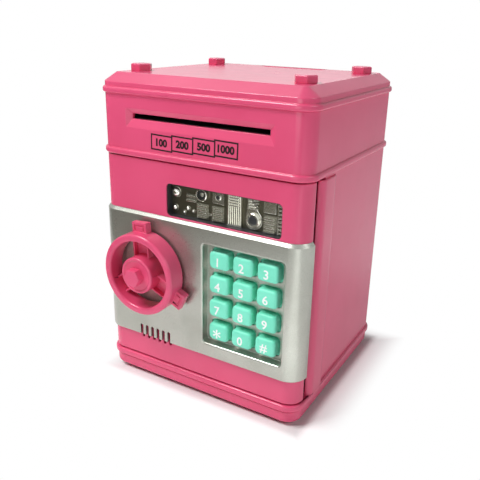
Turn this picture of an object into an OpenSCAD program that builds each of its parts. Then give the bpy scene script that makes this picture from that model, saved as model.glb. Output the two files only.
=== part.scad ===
// Toy safe coin bank: a moulded cabinet with a hinged door that carries a keypad, a
// handwheel with its latch, and a motor-driven bill feed under a screwed-down roof.
// +Z is up, the door faces -Y and hangs on its +X edge. The origin is on the table,
// under the middle of the whole object.

/* [Cabinet] */
// Width between the side faces
body_w = 130; // [130:1:170]
// Depth between the front and back faces
body_d = 120; // [110:1:160]
// Radius of the upright corners
corner_r = 9; // [8:0.5:11]
// Thickness of the moulded walls
wall = 2.2; // [1.8:0.1:2.6]
// How far belts and side bands stand out
belt_out = 1.3; // [0.8:0.1:1.6]
// Depth of the band along each front edge of the side walls
band_d = 20; // [10:1:30]
// Height of the rubber feet
foot_h = 1.5; // [1:0.1:3]
// Radius of the rubber feet
foot_r = 6; // [4:0.5:8]
// Height of the base, from the table to the top of its belt
base_h = 13.6; // [12:0.1:17]
// Height of the belt round the base
base_belt_h = 4.1; // [3:0.1:5]
// Slope cut off the lower edge of the base
base_chamfer = 3; // [2:0.1:3.5]

/* [Head] */
// Height of the head, from under its belt to the roof's belt
head_h = 33.5; // [33:0.5:45]
// Height of the belt under the head
head_belt_h = 3.6; // [2:0.1:5]
// Height of the roof, belt included
roof_h = 11; // [9:0.5:14]
// Height of the belt round the roof
roof_belt_h = 3.5; // [2:0.1:4]
// Height of the sloping part of the roof
roof_slope_h = 4.8; // [3:0.1:5.5]
// How far the roof's slope runs in
roof_slope_in = 7; // [5:0.5:8]
// Radius of a roof bolt across its corners
roof_bolt_r = 6.2; // [4:0.1:7]
// Height of a roof bolt's head
roof_bolt_h = 4; // [2:0.1:5]
// Distance of the roof bolts from the side faces
roof_bolt_in_x = 14; // [12:0.5:20]
// Distance of the roof bolts from the front and back faces
roof_bolt_in_y = 20; // [14:0.5:26]

/* [Slots] */
// Length of the bill slot
slot_w = 85; // [70:1:86]
// Height of the bill slot
slot_h = 2.5; // [1.5:0.1:3.5]
// Height of the bill slot above the bottom of the head
slot_up = 21.95; // [20:0.05:24]
// Length of the coin slot
coin_slot_w = 32; // [26:1:36]
// Width of the coin slot
coin_slot_d = 3; // [2.5:0.1:4]
// Distance of the coin slot from the back face
coin_slot_in = 12; // [10:0.5:16]

/* [Door] */
// Height of the door
door_h = 123.6; // [123:0.1:160]
// Depth of the door
door_d = 12.9; // [12.9:0.1:16]
// Gap between the door and what is above and below it
door_gap_z = 0.75; // [0.5:0.05:1.5]
// Gap between the door and the side walls behind it
door_gap_y = 1.9; // [1.5:0.1:3]
// Distance of the hinge line from the side face
hinge_in = 4; // [4:0.1:5]
// Distance of the hinge line from the front face
hinge_back = 8.6; // [8:0.1:9]
// Radius of the hinge pins
hinge_pin_r = 1.5; // [1:0.1:2]
// Radial clearance of every shaft and pin that turns
run_fit = 0.05; // [0.02:0.01:0.1]
// Left edge of the window
window_x = -19.3; // [-22:0.1:-15]
// Length of the window
window_w = 71; // [50:0.5:72]
// Height of the window
window_h = 18.5; // [12:0.5:20]
// Distance of the window below the top of the door
window_down = 11.2; // [9:0.1:14]

/* [Fascia] */
// Height of the metallic fascia
fascia_h = 78.5; // [70:0.5:79]
// Distance of the fascia above the bottom of the door
fascia_up = 14.7; // [12:0.1:18]
// Thickness of the fascia
fascia_t = 1.5; // [1:0.1:1.6]
// How far the fascia wraps back round the corners
fascia_wrap = 9.6; // [6:0.1:10]
// Width of the speaker slots
grille_w = 1.7; // [1.2:0.1:2.4]
// Distance between the speaker slots
grille_step = 4.05; // [3.2:0.05:5]

/* [Keypad] */
// Width of a key
key_w = 12.4; // [9:0.1:13]
// Height of a key
key_h = 10; // [8:0.1:12]
// Distance between key columns
key_step_x = 14.85; // [14.85:0.05:15.5]
// Distance between key rows
key_step_z = 14.4; // [13:0.1:14.6]
// Middle of the keypad across the door
keypad_x = 30.25; // [28:0.05:31]
// Height of the keypad's middle above the bottom of the door
keypad_up = 52.75; // [50:0.05:54]
// Depth of the keypad's tray behind the front face
tray_in = 4; // [3:0.1:4.4]
// Travel of a key
key_travel = 1.2; // [0.8:0.1:1.3]

/* [Handwheel] */
// Position of the handwheel across the door
wheel_x = -30.7; // [-33:0.1:-28]
// Height of the handwheel above the bottom of the door
wheel_up = 59.8; // [55:0.1:62]
// Outer radius of the ring
ring_r = 24.1; // [20:0.1:25]
// Width of the ring
ring_w = 4.35; // [3:0.05:6]
// Reach of the lugs
lug_r = 29.6; // [27:0.1:31]
// Radius of the hub
hub_r = 10.7; // [8:0.1:12]
// Distance of the ring's front from the front face
ring_out = 13.7; // [11:0.1:15]
// Thickness of the ring
ring_t = 10.9; // [7:0.1:11]
// Distance of the hub's front from the front face
hub_out = 14.3; // [14:0.1:16]
// Height of the hexagonal hub bolt
hub_bolt_h = 4.5; // [3:0.1:6]
// Radius of the hub bolt across its corners
hub_bolt_r = 5.3; // [4:0.1:7]
// Radius of the wheel's shaft
shaft_r = 3; // [2.5:0.1:3.5]

/* [Feed] */
// Radius of the driven tyres
drive_tyre_r = 6; // [5:0.1:6.5]
// Radius of the idler tyres
idler_tyre_r = 4; // [3:0.1:4.5]
// Teeth on the driven gear
gear_teeth = 24; // [20:2:24]
// Teeth on the motor pinion
pinion_teeth = 12; // [10:2:12]
// Module of the gears
gear_module = 0.8; // [0.7:0.05:0.8]

/* [Hidden] */
$fn = 64;

// Colours
pink = "#e0527a";
silver = "#bababa";
teal = "#78dcb4";
dark = "#303236";
board_green = "#2c6b3f";
steel = "#c8c8cc";
brassy = "#c8a850";

// Small gaps: between pieces that never move apart, and between pieces that do
seat_gap = 0.15;
move_gap = 0.3;

// Overall places
wheel_reach = hub_out + hub_bolt_h;
overall_d = body_d + belt_out + wheel_reach;
front_y = wheel_reach - overall_d / 2;
back_y = front_y + body_d;
mid_y = (front_y + back_y) / 2;
side_x = body_w / 2;
inner_x = side_x - wall;

// Levels
bottom_z = foot_h + wall;
door_z = base_h + door_gap_z;
door_top_z = door_z + door_h;
head_z = door_top_z + door_gap_z;
deck_z = head_z + wall;
roof_z = head_z + head_h;
roof_top_z = roof_z + roof_h;
roof_edge_z = roof_top_z - roof_slope_h;

// The side walls start behind the door
wall_y = front_y + door_d + door_gap_y;

// Battery box: three AA cells lying across the base
cell_r = 7.25;
cell_l = 50.5;
cell_step = 15.2;
cell_count = 3;
spring_l = 4;
contact_t = 0.4;
cell_z = bottom_z + 0.1 + cell_r;
box_wall = 1.4;
box_x = cell_l / 2 + spring_l / 2 + contact_t;
box_y = cell_count * cell_step / 2;
box_top_z = cell_z + cell_r + seat_gap + box_wall;
cover_t = wall - seat_gap;
cover_lip = 3;

// Floor of the money compartment, over the battery box
floor_t = 2;
floor_z = box_top_z + seat_gap;
floor_y = wall_y + 2.8;

// Bill feed
path_z = head_z + slot_up;
deck_t = 2;
deck_top_z = deck_z + deck_t;
guide_t = 1.2;
feed_y = front_y + 16;
tyre_gap = 0.3;
drive_z = path_z - tyre_gap / 2 - drive_tyre_r;
idler_z = path_z + tyre_gap / 2 + idler_tyre_r;
tyre_w = 10;
drive_shaft_r = 1.5;
idler_shaft_r = 1;
bracket_t = 2;
bracket_x = slot_w / 2 + 3.5;
bracket_y = [front_y + 6, front_y + 42];
bracket_foot = 6;
gear_t = 4;
gear_x = bracket_x + bracket_t + 2;
mesh_slack = 0.15;
gear_gap = (gear_teeth + pinion_teeth) * gear_module / 2 + mesh_slack;
motor_r = 10;
motor_t = 14.6;
motor_l = 25;
motor_shaft_r = 1;
motor_boss_r = 3;
tyre_x = bracket_x - motor_l - tyre_w / 2 - 2;
motor_z = deck_top_z + motor_t / 2;
motor_y = feed_y + sqrt(pow(gear_gap, 2) - pow(drive_z - motor_z, 2));
mesh_angle = atan2(motor_z - drive_z, motor_y - feed_y);
drop_y = [front_y + 45, back_y - 28];
drop_x = slot_w / 2 + 1;
lip_t = 1.6;

// Coin slot and chute
coin_y = back_y - coin_slot_in;
chute_w = coin_slot_w + 3;
chute_d = coin_slot_d + 2;
chute_wall = 1.2;

// Bolts in the roof, at [x, y]
roof_bolt_x = side_x - roof_bolt_in_x;
roof_bolt_y = body_d / 2 - roof_bolt_in_y;
bolt_peg_r = 2;
bolt_boss_r = 4;
bolt_boss_l = 6;

// Door, in its own view: x to the right, y up from the table, z out of the front face
back_t = 1.6;
door_back_z = -door_d + back_t;
window_z = door_top_z - window_down - window_h;
relief_in = 5;
relief_t = 1.4;
relief_lip = 3;
collar_t = 1.4;
keypad_z = door_z + keypad_up;
tray_t = 1.2;
tray_w = 2 * key_step_x + key_w + 7.8;
tray_h = 3 * key_step_z + key_h + 6.4;
key_front = 0.8;
key_gap = 0.3;
flange_out = 0.5;
flange_t = 1;
flange_front = -tray_in - tray_t - 0.1;
mat_front = flange_front - flange_t - key_travel - 0.2;
dome_t = 0.9;
mat_t = 1;
mat_back = mat_front - dome_t - mat_t;
board_t = 1.2;
wheel_z = door_z + wheel_up;
grille_x = wheel_x + 2;
grille_y = door_z + 16.95;
grille_h = 9.5;
grille_count = 6;
speaker_r = 11;
post_r = 2.6;
screw_r = 1.1;
post_places = [
    [-side_x + 9, door_z + 8], [side_x - 15, door_z + 8],
    [-side_x + 9, door_top_z - 5], [side_x - 15, door_top_z - 5],
];
hinge_x = side_x - hinge_in;
hinge_y = front_y + hinge_back;
hinge_boss_r = 3.2;
hinge_l = 7;

// Latch: the cam's tongue turns behind a keeper on the left wall
keeper_t = 2;
keeper_w = 4.4;
keeper_h = 18;
cam_front = -(door_d + door_gap_y + keeper_t + 0.4);
cam_t = 2;
cam_l = wheel_x + inner_x - keeper_w / 2;
cam_w = 9;
disc_front = -5;
disc_t = 3;
disc_r = 9;
notch_w = 4;
notch_d = 3.6;
plunger_r = 1.5;
plunger_travel = 3;
plunger_head_l = 1.2;
plunger_head_r = 3.4;
solenoid_w = 11;
solenoid_h = 13;
solenoid_gap = 2;
plunger_mid = disc_front - disc_t / 2;
plunger_tip_z = wheel_z + disc_r + 0.6;
solenoid_z = plunger_tip_z + solenoid_gap + plunger_travel;
plunger_spring_l = plunger_travel + 2;

// ---------------------------------------------------------------- shared shapes

// A block between two corners
module block(low, high) {
    translate(low) cube(high - low);
}

// A rectangle with round corners, about the origin
module round_rect(w, h, r) {
    square([w - 2 * r, h], center = true);
    square([w, h - 2 * r], center = true);
    for (x = [-1, 1], y = [-1, 1]) {
        translate([x * (w / 2 - r), y * (h / 2 - r)]) circle(r = r);
    }
}

// The cabinet's outline grown outwards by a distance, or shrunk if it is negative
module outline(grow) {
    translate([0, mid_y]) round_rect(body_w + 2 * grow, body_d + 2 * grow, corner_r + grow);
}

// The cabinet's outline as a solid between two levels
module column(grow, low, high) {
    translate([0, 0, low]) linear_extrude(high - low) outline(grow);
}

// A profile carried all round the cabinet. Its x is measured out from the centres of
// the corners, so the side faces are at corner_r, and its y is the height.
module around() {
    cx = side_x - corner_r;
    cy = body_d / 2 - corner_r;
    runs = [[cx, cy, 2 * cy], [-cx, cy, 2 * cx], [-cx, -cy, 2 * cy], [cx, -cy, 2 * cx]];
    translate([0, mid_y, 0]) for (i = [0:3]) {
        translate([runs[i][0], runs[i][1], 0]) rotate([0, 0, 90 * i]) {
            rotate_extrude(angle = 90) children();
            // The straight run that ends at this corner
            rotate([90, 0, 0]) linear_extrude(runs[i][2]) children();
        }
    }
}

// A belt with eased edges, from a level upwards
module belt(low, height) {
    ease = 0.5;
    around() translate([corner_r, low]) polygon([
        [-1, 0], [belt_out - ease, 0], [belt_out, ease],
        [belt_out, height - ease], [belt_out - ease, height], [-1, height],
    ]);
}

// Rods along the three axes, between two places
module rod_x(y, z, r, from, to) {
    translate([from, y, z]) rotate([0, 90, 0]) cylinder(r = r, h = to - from);
}

module rod_z(x, y, r, from, to) {
    translate([x, y, from]) cylinder(r = r, h = to - from);
}

// The door's own view: x to the right, y up, z out of the front face
module on_front() {
    translate([0, front_y, 0]) rotate([90, 0, 0]) children();
}

// A flat shape in the door's view, between two distances from the front face
module plate(back, front) {
    translate([0, 0, back]) linear_extrude(front - back) children();
}

// A pan-head screw pointing down from the origin
module screw(shank_r, shank_l, head_r, head_h) {
    translate([0, 0, -shank_l]) cylinder(r = shank_r, h = shank_l);
    difference() {
        cylinder(r = head_r, h = head_h);
        for (a = [0, 90]) {
            rotate([0, 0, a]) block([-head_r * 0.7, -0.25, head_h - 0.5], [head_r * 0.7, 0.25, head_h + 1]);
        }
    }
}

// A wound spring along +Z: a round wire swept along a helix
module coil(r, wire_r, length, turns) {
    sides = 8;
    steps = 14 * turns;
    rise = length - 2 * wire_r;
    points = [
        for (i = [0:steps], k = [0:sides - 1])
            let (a = 360 * turns * i / steps, b = 360 * k / sides, d = r + wire_r * cos(b))
            [d * cos(a), d * sin(a), wire_r + rise * i / steps + wire_r * sin(b)]
    ];
    sleeve = [
        for (i = [0:steps - 1], k = [0:sides - 1])
            let (n = (k + 1) % sides)
            [i * sides + k, (i + 1) * sides + k, (i + 1) * sides + n, i * sides + n]
    ];
    first = [for (k = [0:sides - 1]) k];
    last = [for (k = [sides - 1:-1:0]) steps * sides + k];
    polyhedron(points = points, faces = concat([first], sleeve, [last]), convexity = 10);
}

// Outline of a spur gear with straight-flanked teeth, a tooth pointing along +X
module gear_outline(teeth) {
    pitch_r = teeth * gear_module / 2;
    tip_r = pitch_r + 0.9 * gear_module;
    root_r = pitch_r - 1.15 * gear_module;
    quarter = 90 / teeth;
    slack = 0.2 * gear_module / pitch_r * 57.3;
    polygon([
        for (i = [0:teeth - 1])
            let (a = 360 * i / teeth)
            for (p = [
                [root_r, -quarter * 1.75], [pitch_r, -quarter + slack], [tip_r, -quarter * 0.42],
                [tip_r, quarter * 0.42], [pitch_r, quarter - slack], [root_r, quarter * 1.75],
            ])
                [p[0] * cos(a + p[1]), p[0] * sin(a + p[1])]
    ]);
}

// A gear along +X at a place, turned so that a tooth points at an angle from +Y towards +Z
module gear_x(teeth, bore_r, y, z, turn) {
    translate([gear_x, y, z]) rotate([90, 0, 90]) rotate([0, 0, turn]) linear_extrude(gear_t)
        difference() {
            gear_outline(teeth);
            circle(r = bore_r);
        }
}

// The bevelled recess round a slot, from the size of its mouth to the size of its floor
module bevelled_recess(mouth, floor_size, shift, depth) {
    hull() {
        translate([0, 0, 0.01]) linear_extrude(0.01) translate(shift) square(mouth, center = true);
        translate([0, 0, -depth]) linear_extrude(0.01) square(floor_size, center = true);
    }
}

// A block round the inside of the coin chute, grown by a distance, between two levels
module chute_block(grow, low, high) {
    block([-chute_w / 2 - grow, coin_y - chute_d / 2 - grow, low],
          [chute_w / 2 + grow, coin_y + chute_d / 2 + grow, high]);
}

// ---------------------------------------------------------------- cabinet

module base_block() {
    column(0, foot_h + base_chamfer, base_h);
    around() polygon([
        [0, foot_h], [corner_r - base_chamfer, foot_h],
        [corner_r, foot_h + base_chamfer], [0, foot_h + base_chamfer],
    ]);
    block([corner_r - side_x, front_y + corner_r, foot_h],
          [side_x - corner_r, back_y - corner_r, foot_h + base_chamfer]);
}

// Everything behind the door's gap, as a cutter for the walls
module behind(y, low, high) {
    block([-2 * body_w, y, low], [2 * body_w, back_y + 50, high]);
}

module cabinet_shell() {
    color(pink) difference() {
        union() {
            difference() {
                union() {
                    base_block();
                    belt(base_h - base_belt_h, base_belt_h);
                    intersection() {
                        column(0, base_h - 1, head_z);
                        behind(wall_y, base_h - 1, head_z);
                    }
                    for (side = [-1, 1]) {
                        from = side > 0 ? side_x - 1 : -side_x - belt_out;
                        block([from, wall_y, base_h - 1],
                              [from + belt_out + 1, wall_y + band_d, head_z - 0.6]);
                    }
                }
                column(-wall, bottom_z, head_z + 1);
            }
            // The sill that the door closes over
            intersection() {
                column(-1, base_h - wall, base_h);
                block([-body_w, front_y - 1, base_h - wall], [body_w, floor_y - seat_gap, base_h]);
            }
            rod_z(hinge_x, hinge_y, hinge_boss_r, base_h - hinge_l - 1, base_h);
        }
        rod_z(hinge_x, hinge_y, hinge_pin_r, base_h - hinge_l, base_h + 1);
        // The way into the battery box, with a ledge for the cover
        block([-box_x, mid_y - box_y, 0], [box_x, mid_y + box_y, bottom_z + 1]);
        block([-box_x - cover_lip, mid_y - box_y - cover_lip, 0],
              [box_x + cover_lip, mid_y + box_y + cover_lip, foot_h + cover_t / 2]);
        rod_z(box_x + cover_lip + 4, mid_y, screw_r, 0, bottom_z + 1);
        rod_z(box_x + cover_lip + 4, mid_y, 3.2, 0, foot_h + cover_t / 2);
        block([box_x, mid_y - 3.2, 0], [box_x + cover_lip + 4, mid_y + 3.2, foot_h + cover_t / 2]);
    }
}

module head_shell() {
    color(pink) difference() {
        union() {
            difference() {
                union() {
                    column(0, head_z, roof_z);
                    belt(head_z, head_belt_h);
                }
                column(-wall, head_z + wall, roof_z + 1);
            }
            // Thick lips behind the bill slot
            block([-slot_w / 2 - 3.5, front_y + 1, path_z - 5.5],
                  [slot_w / 2 + 3.5, front_y + wall + lip_t, path_z + 5]);
            rod_z(hinge_x, hinge_y, hinge_boss_r, head_z, head_z + hinge_l + 1);
        }
        rod_z(hinge_x, hinge_y, hinge_pin_r, head_z - 1, head_z + hinge_l);
        block([-slot_w / 2, front_y - 5, path_z - slot_h / 2],
              [slot_w / 2, front_y + 10, path_z + slot_h / 2]);
        on_front() translate([0, path_z, 0])
            bevelled_recess([slot_w + 7, slot_h + 7.9], [slot_w, slot_h], [0, -0.85], 1.7);
        // The bills and coins drop through here
        block([-drop_x - 2, drop_y[0] - 2, head_z - 1], [drop_x + 2, drop_y[1] + 2, deck_z + 1]);
        chute_block(chute_wall + 1.8, head_z - 1, deck_z + 1);
        deck_screw_places() translate([0, 0, head_z - 1]) cylinder(r = screw_r, h = 10);
    }
}

module roof() {
    lip = corner_r - wall;
    color(pink) difference() {
        union() {
            difference() {
                union() {
                    column(0, roof_z, roof_edge_z);
                    around() polygon([
                        [0, roof_edge_z], [corner_r, roof_edge_z],
                        [corner_r - roof_slope_in, roof_top_z], [0, roof_top_z],
                    ]);
                    block([corner_r - side_x, front_y + corner_r, roof_edge_z],
                          [side_x - corner_r, back_y - corner_r, roof_top_z]);
                    belt(roof_z, roof_belt_h);
                }
                column(-wall, roof_z - 1, roof_edge_z - wall / 2);
                block([corner_r - side_x, front_y + corner_r, roof_z],
                      [side_x - corner_r, back_y - corner_r, roof_top_z - wall]);
            }
            around() polygon([
                [lip - 1.6, roof_z - 4], [lip - seat_gap, roof_z - 4], [lip - seat_gap, roof_z],
                [lip + 0.3, roof_z], [lip + 0.3, roof_z + 2], [lip - 1.6, roof_z + 2],
            ]);
            roof_bolt_places() translate([0, 0, roof_top_z - wall - bolt_boss_l])
                cylinder(r = bolt_boss_r, h = bolt_boss_l + 1);
            // The collar that guides coins into the chute
            chute_block(chute_wall + 1.4, roof_top_z - wall - 3, roof_top_z - 1);
        }
        roof_bolt_places() translate([0, 0, roof_top_z - wall - bolt_boss_l - 1])
            cylinder(r = bolt_peg_r, h = 20);
        block([-coin_slot_w / 2, coin_y - coin_slot_d / 2, roof_z],
              [coin_slot_w / 2, coin_y + coin_slot_d / 2, roof_top_z + 1]);
        chute_block(chute_wall + seat_gap, roof_z, roof_top_z - wall);
        translate([0, coin_y, roof_top_z])
            bevelled_recess([coin_slot_w + 16, coin_slot_d + 7], [coin_slot_w, coin_slot_d], [0, 0], 1.2);
    }
}

module roof_bolt_places() {
    for (x = [-1, 1], y = [-1, 1]) {
        translate([x * roof_bolt_x, mid_y + y * roof_bolt_y, 0]) children();
    }
}

module roof_bolts() {
    color(pink) roof_bolt_places() {
        translate([0, 0, roof_top_z]) cylinder(r = roof_bolt_r, h = roof_bolt_h, $fn = 6);
        translate([0, 0, roof_top_z - wall - bolt_boss_l]) cylinder(r = bolt_peg_r, h = wall + bolt_boss_l);
    }
}

module feet() {
    color(dark) for (x = [-1, 1], y = [-1, 1]) {
        translate([x * (side_x - 14), mid_y + y * (body_d / 2 - 14), 0]) cylinder(r = foot_r, h = foot_h);
    }
}

// ---------------------------------------------------------------- batteries

module battery_box() {
    color(dark) difference() {
        block([-box_x - box_wall - contact_t, mid_y - box_y - box_wall, bottom_z],
              [box_x + box_wall + contact_t, mid_y + box_y + box_wall, box_top_z]);
        block([-box_x - contact_t, mid_y - box_y, 0],
              [box_x + contact_t, mid_y + box_y, box_top_z - box_wall]);
    }
}

module battery_cover() {
    gap = seat_gap;
    color(pink) difference() {
        union() {
            block([-box_x + gap, mid_y - box_y + gap, foot_h + cover_t / 2 - gap],
                  [box_x - gap, mid_y + box_y - gap, bottom_z - gap]);
            block([-box_x - cover_lip + gap, mid_y - box_y - cover_lip + gap, foot_h],
                  [box_x + cover_lip - gap, mid_y + box_y + cover_lip - gap, foot_h + cover_t / 2]);
            rod_z(box_x + cover_lip + 4, mid_y, 3, foot_h, foot_h + cover_t / 2);
            block([box_x, mid_y - 3, foot_h], [box_x + cover_lip + 4, mid_y + 3, foot_h + cover_t / 2]);
        }
        rod_z(box_x + cover_lip + 4, mid_y, screw_r, 0, 5);
    }
}

module battery_screw() {
    color(steel) translate([box_x + cover_lip + 4, mid_y, foot_h]) mirror([0, 0, 1])
        screw(screw_r, 4.5, 2, 1);
}

// The middle of each cell across the box, and which way round it lies
module cell_places() {
    for (i = [0:cell_count - 1]) {
        translate([0, mid_y + (i - (cell_count - 1) / 2) * cell_step, cell_z])
            rotate([0, 0, i % 2 == 0 ? 0 : 180]) children();
    }
}

module batteries() {
    tip_l = 1.2;
    color(brassy) cell_places() {
        rod_x(0, 0, cell_r, -cell_l / 2 + spring_l / 2, cell_l / 2 + spring_l / 2 - tip_l);
        rod_x(0, 0, 2.7, 0, cell_l / 2 + spring_l / 2);
    }
}

module battery_springs() {
    color(steel) cell_places() translate([-box_x, 0, 0]) rotate([0, 90, 0]) coil(3, 0.35, spring_l, 3);
}

module battery_contacts() {
    color(steel) cell_places() {
        for (x = [-box_x - contact_t, box_x]) {
            block([x, -5, -5], [x + contact_t, 5, 5]);
        }
    }
}

// ---------------------------------------------------------------- compartment

module compartment_floor() {
    skirt = 1.6;
    color(dark) difference() {
        intersection() {
            column(-wall - seat_gap, bottom_z, floor_z + floor_t);
            behind(floor_y, 0, floor_z + floor_t);
        }
        intersection() {
            column(-wall - seat_gap - skirt, bottom_z - 1, floor_z);
            behind(floor_y + skirt, 0, floor_z);
        }
        floor_screw_places() translate([0, 0, floor_z - 1]) cylinder(r = screw_r, h = floor_t + 2);
    }
    // Posts that the floor screws bite in
    color(dark) floor_screw_places() difference() {
        translate([0, 0, bottom_z]) cylinder(r = 3, h = floor_z - bottom_z);
        translate([0, 0, bottom_z + 2]) cylinder(r = screw_r, h = floor_z);
    }
}

module floor_screw_places() {
    for (x = [-1, 1], y = [-1, 1]) {
        translate([x * (side_x - 14), mid_y + 4 + y * (body_d / 2 - 22), 0]) children();
    }
}

module floor_screws() {
    color(steel) floor_screw_places() translate([0, 0, floor_z + floor_t]) screw(screw_r, 9, 2, 1);
}

module latch_keeper() {
    color(steel) {
        block([-inner_x, wall_y, wheel_z - keeper_h / 2],
              [-inner_x + keeper_w, wall_y + keeper_t, wheel_z + keeper_h / 2]);
        block([-inner_x, wall_y + keeper_t, wheel_z + cam_w / 2 + 2],
              [-inner_x + 1, wall_y + 14, wheel_z + keeper_h / 2]);
    }
}

module hinge_pins() {
    color(steel) {
        rod_z(hinge_x, hinge_y, hinge_pin_r, base_h - hinge_l, door_z + hinge_l - 0.5);
        rod_z(hinge_x, hinge_y, hinge_pin_r, door_top_z - hinge_l + 0.5, head_z + hinge_l);
    }
}

// ---------------------------------------------------------------- bill feed

module deck_screw_places() {
    for (x = [-1, 1], y = [front_y + 38, back_y - 9]) {
        translate([x * (side_x - 9), y, 0]) children();
    }
}

module feed_deck() {
    edge = wall + seat_gap;
    color(dark) difference() {
        column(-edge, deck_z, deck_top_z);
        block([-drop_x, drop_y[0], 0], [drop_x, drop_y[1], 2 * deck_z]);
        chute_block(chute_wall, 0, 2 * deck_z);
        rod_z(hinge_x, hinge_y, hinge_boss_r + seat_gap, 0, 2 * deck_z);
        deck_screw_places() translate([0, 0, head_z - 1]) cylinder(r = screw_r, h = 10);
    }
}

module deck_screws() {
    color(steel) deck_screw_places() translate([0, 0, deck_top_z]) screw(screw_r, deck_t + wall - 0.3, 2, 1);
}

// The windows in the guides that the tyres reach through
module tyre_windows(low, high, half) {
    for (x = [-tyre_x, tyre_x]) {
        block([x - tyre_w / 2 - 1, feed_y - half, low], [x + tyre_w / 2 + 1, feed_y + half, high]);
    }
}

module bill_guide_lower() {
    top = path_z - slot_h / 2;
    color(dark) difference() {
        block([-bracket_x, front_y + wall + lip_t, top - guide_t], [bracket_x, bracket_y[1], top]);
        tyre_windows(top - guide_t - 1, top + 1, drive_tyre_r + 0.5);
    }
}

module bill_guide_upper() {
    low = path_z + slot_h / 2;
    color(dark) difference() {
        block([-bracket_x, front_y + wall + lip_t, low], [bracket_x, feed_y + 12, low + guide_t]);
        tyre_windows(low - 1, low + guide_t + 1, idler_tyre_r + 0.5);
    }
}

module feed_brackets() {
    color(steel) for (side = [-1, 1]) {
        from = side > 0 ? bracket_x : -bracket_x - bracket_t;
        foot = side > 0 ? bracket_x : -bracket_x - bracket_foot;
        difference() {
            union() {
                block([from, bracket_y[0], deck_top_z], [from + bracket_t, bracket_y[1], idler_z + 4]);
                block([foot, bracket_y[1] - 8, deck_top_z],
                      [foot + bracket_foot, bracket_y[1], deck_top_z + bracket_t]);
            }
            rod_x(feed_y, drive_z, drive_shaft_r + run_fit, from - 1, from + bracket_t + 1);
            rod_x(feed_y, idler_z, idler_shaft_r + run_fit, from - 1, from + bracket_t + 1);
            rod_x(motor_y, motor_z, motor_boss_r, from - 1, from + bracket_t + 1);
        }
    }
}

module drive_shaft() {
    color(steel) rod_x(feed_y, drive_z, drive_shaft_r, -bracket_x - bracket_t - 1, gear_x + gear_t + 0.5);
}

module tyres(z, outer, inner) {
    color(dark) for (x = [-tyre_x, tyre_x]) {
        difference() {
            rod_x(feed_y, z, outer, x - tyre_w / 2, x + tyre_w / 2);
            rod_x(feed_y, z, inner, x - tyre_w, x + tyre_w);
        }
    }
}

module drive_tyres() {
    tyres(drive_z, drive_tyre_r, drive_shaft_r);
}

module drive_gear() {
    color("ivory") gear_x(gear_teeth, drive_shaft_r, feed_y, drive_z, mesh_angle);
}

module idler_shaft() {
    color(steel) rod_x(feed_y, idler_z, idler_shaft_r, -bracket_x - bracket_t - 1, bracket_x + bracket_t + 1);
}

module idler_tyres() {
    tyres(idler_z, idler_tyre_r, idler_shaft_r);
}

module feed_motor() {
    color(steel) {
        intersection() {
            rod_x(motor_y, motor_z, motor_r, bracket_x - motor_l, bracket_x);
            block([0, motor_y - motor_r, deck_top_z], [body_w, motor_y + motor_r, deck_top_z + motor_t]);
        }
        difference() {
            rod_x(motor_y, motor_z, motor_boss_r, bracket_x, bracket_x + bracket_t);
            rod_x(motor_y, motor_z, motor_shaft_r + run_fit, bracket_x - 1, bracket_x + bracket_t + 1);
        }
    }
}

module motor_shaft() {
    color(steel) rod_x(motor_y, motor_z, motor_shaft_r, bracket_x + 0.2, gear_x + gear_t + 0.5);
}

module motor_pinion() {
    half_pitch = 180 / pinion_teeth;
    color("ivory") gear_x(pinion_teeth, motor_shaft_r, motor_y, motor_z, mesh_angle + 180 + half_pitch);
}

module feed_board() {
    low = deck_top_z;
    color(board_green) {
        block([-bracket_x + 4, front_y + 24, low + 3],
              [-bracket_x + 36, front_y + 41, low + 3 + board_t]);
        for (x = [-bracket_x + 6.5, -bracket_x + 33.5], y = [front_y + 26.5, front_y + 38.5]) {
            rod_z(x, y, 1.8, low, low + 3);
        }
        block([-bracket_x + 13, front_y + 29, low + 3 + board_t],
              [-bracket_x + 23, front_y + 36, low + 5.2 + board_t]);
        rod_z(-bracket_x + 28, front_y + 32, 2.5, low + 3 + board_t, low + 9);
    }
}

module bill_sensor() {
    low = path_z + slot_h / 2 + guide_t;
    color(dark) block([-4, feed_y + 6.5, low], [4, feed_y + 11.5, low + 4]);
}

module coin_chute() {
    color(dark) difference() {
        chute_block(chute_wall, deck_z, roof_top_z - wall - seat_gap);
        chute_block(0, deck_z - 1, roof_top_z);
    }
}

// ---------------------------------------------------------------- door

module window_shape(grow) {
    translate([window_x + window_w / 2, window_z + window_h / 2])
        round_rect(window_w + 2 * grow, window_h + 2 * grow, 2.5 + grow);
}

module tray_shape(grow) {
    translate([keypad_x, keypad_z]) round_rect(tray_w + 2 * grow, tray_h + 2 * grow, 2 + grow);
}

module grille_shape() {
    for (i = [0:grille_count - 1]) {
        translate([grille_x + (i - (grille_count - 1) / 2) * grille_step, grille_y])
            round_rect(grille_w, grille_h, grille_w / 2 - 0.01);
    }
}

module at_posts() {
    for (p = post_places) {
        translate(p) children();
    }
}

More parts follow.
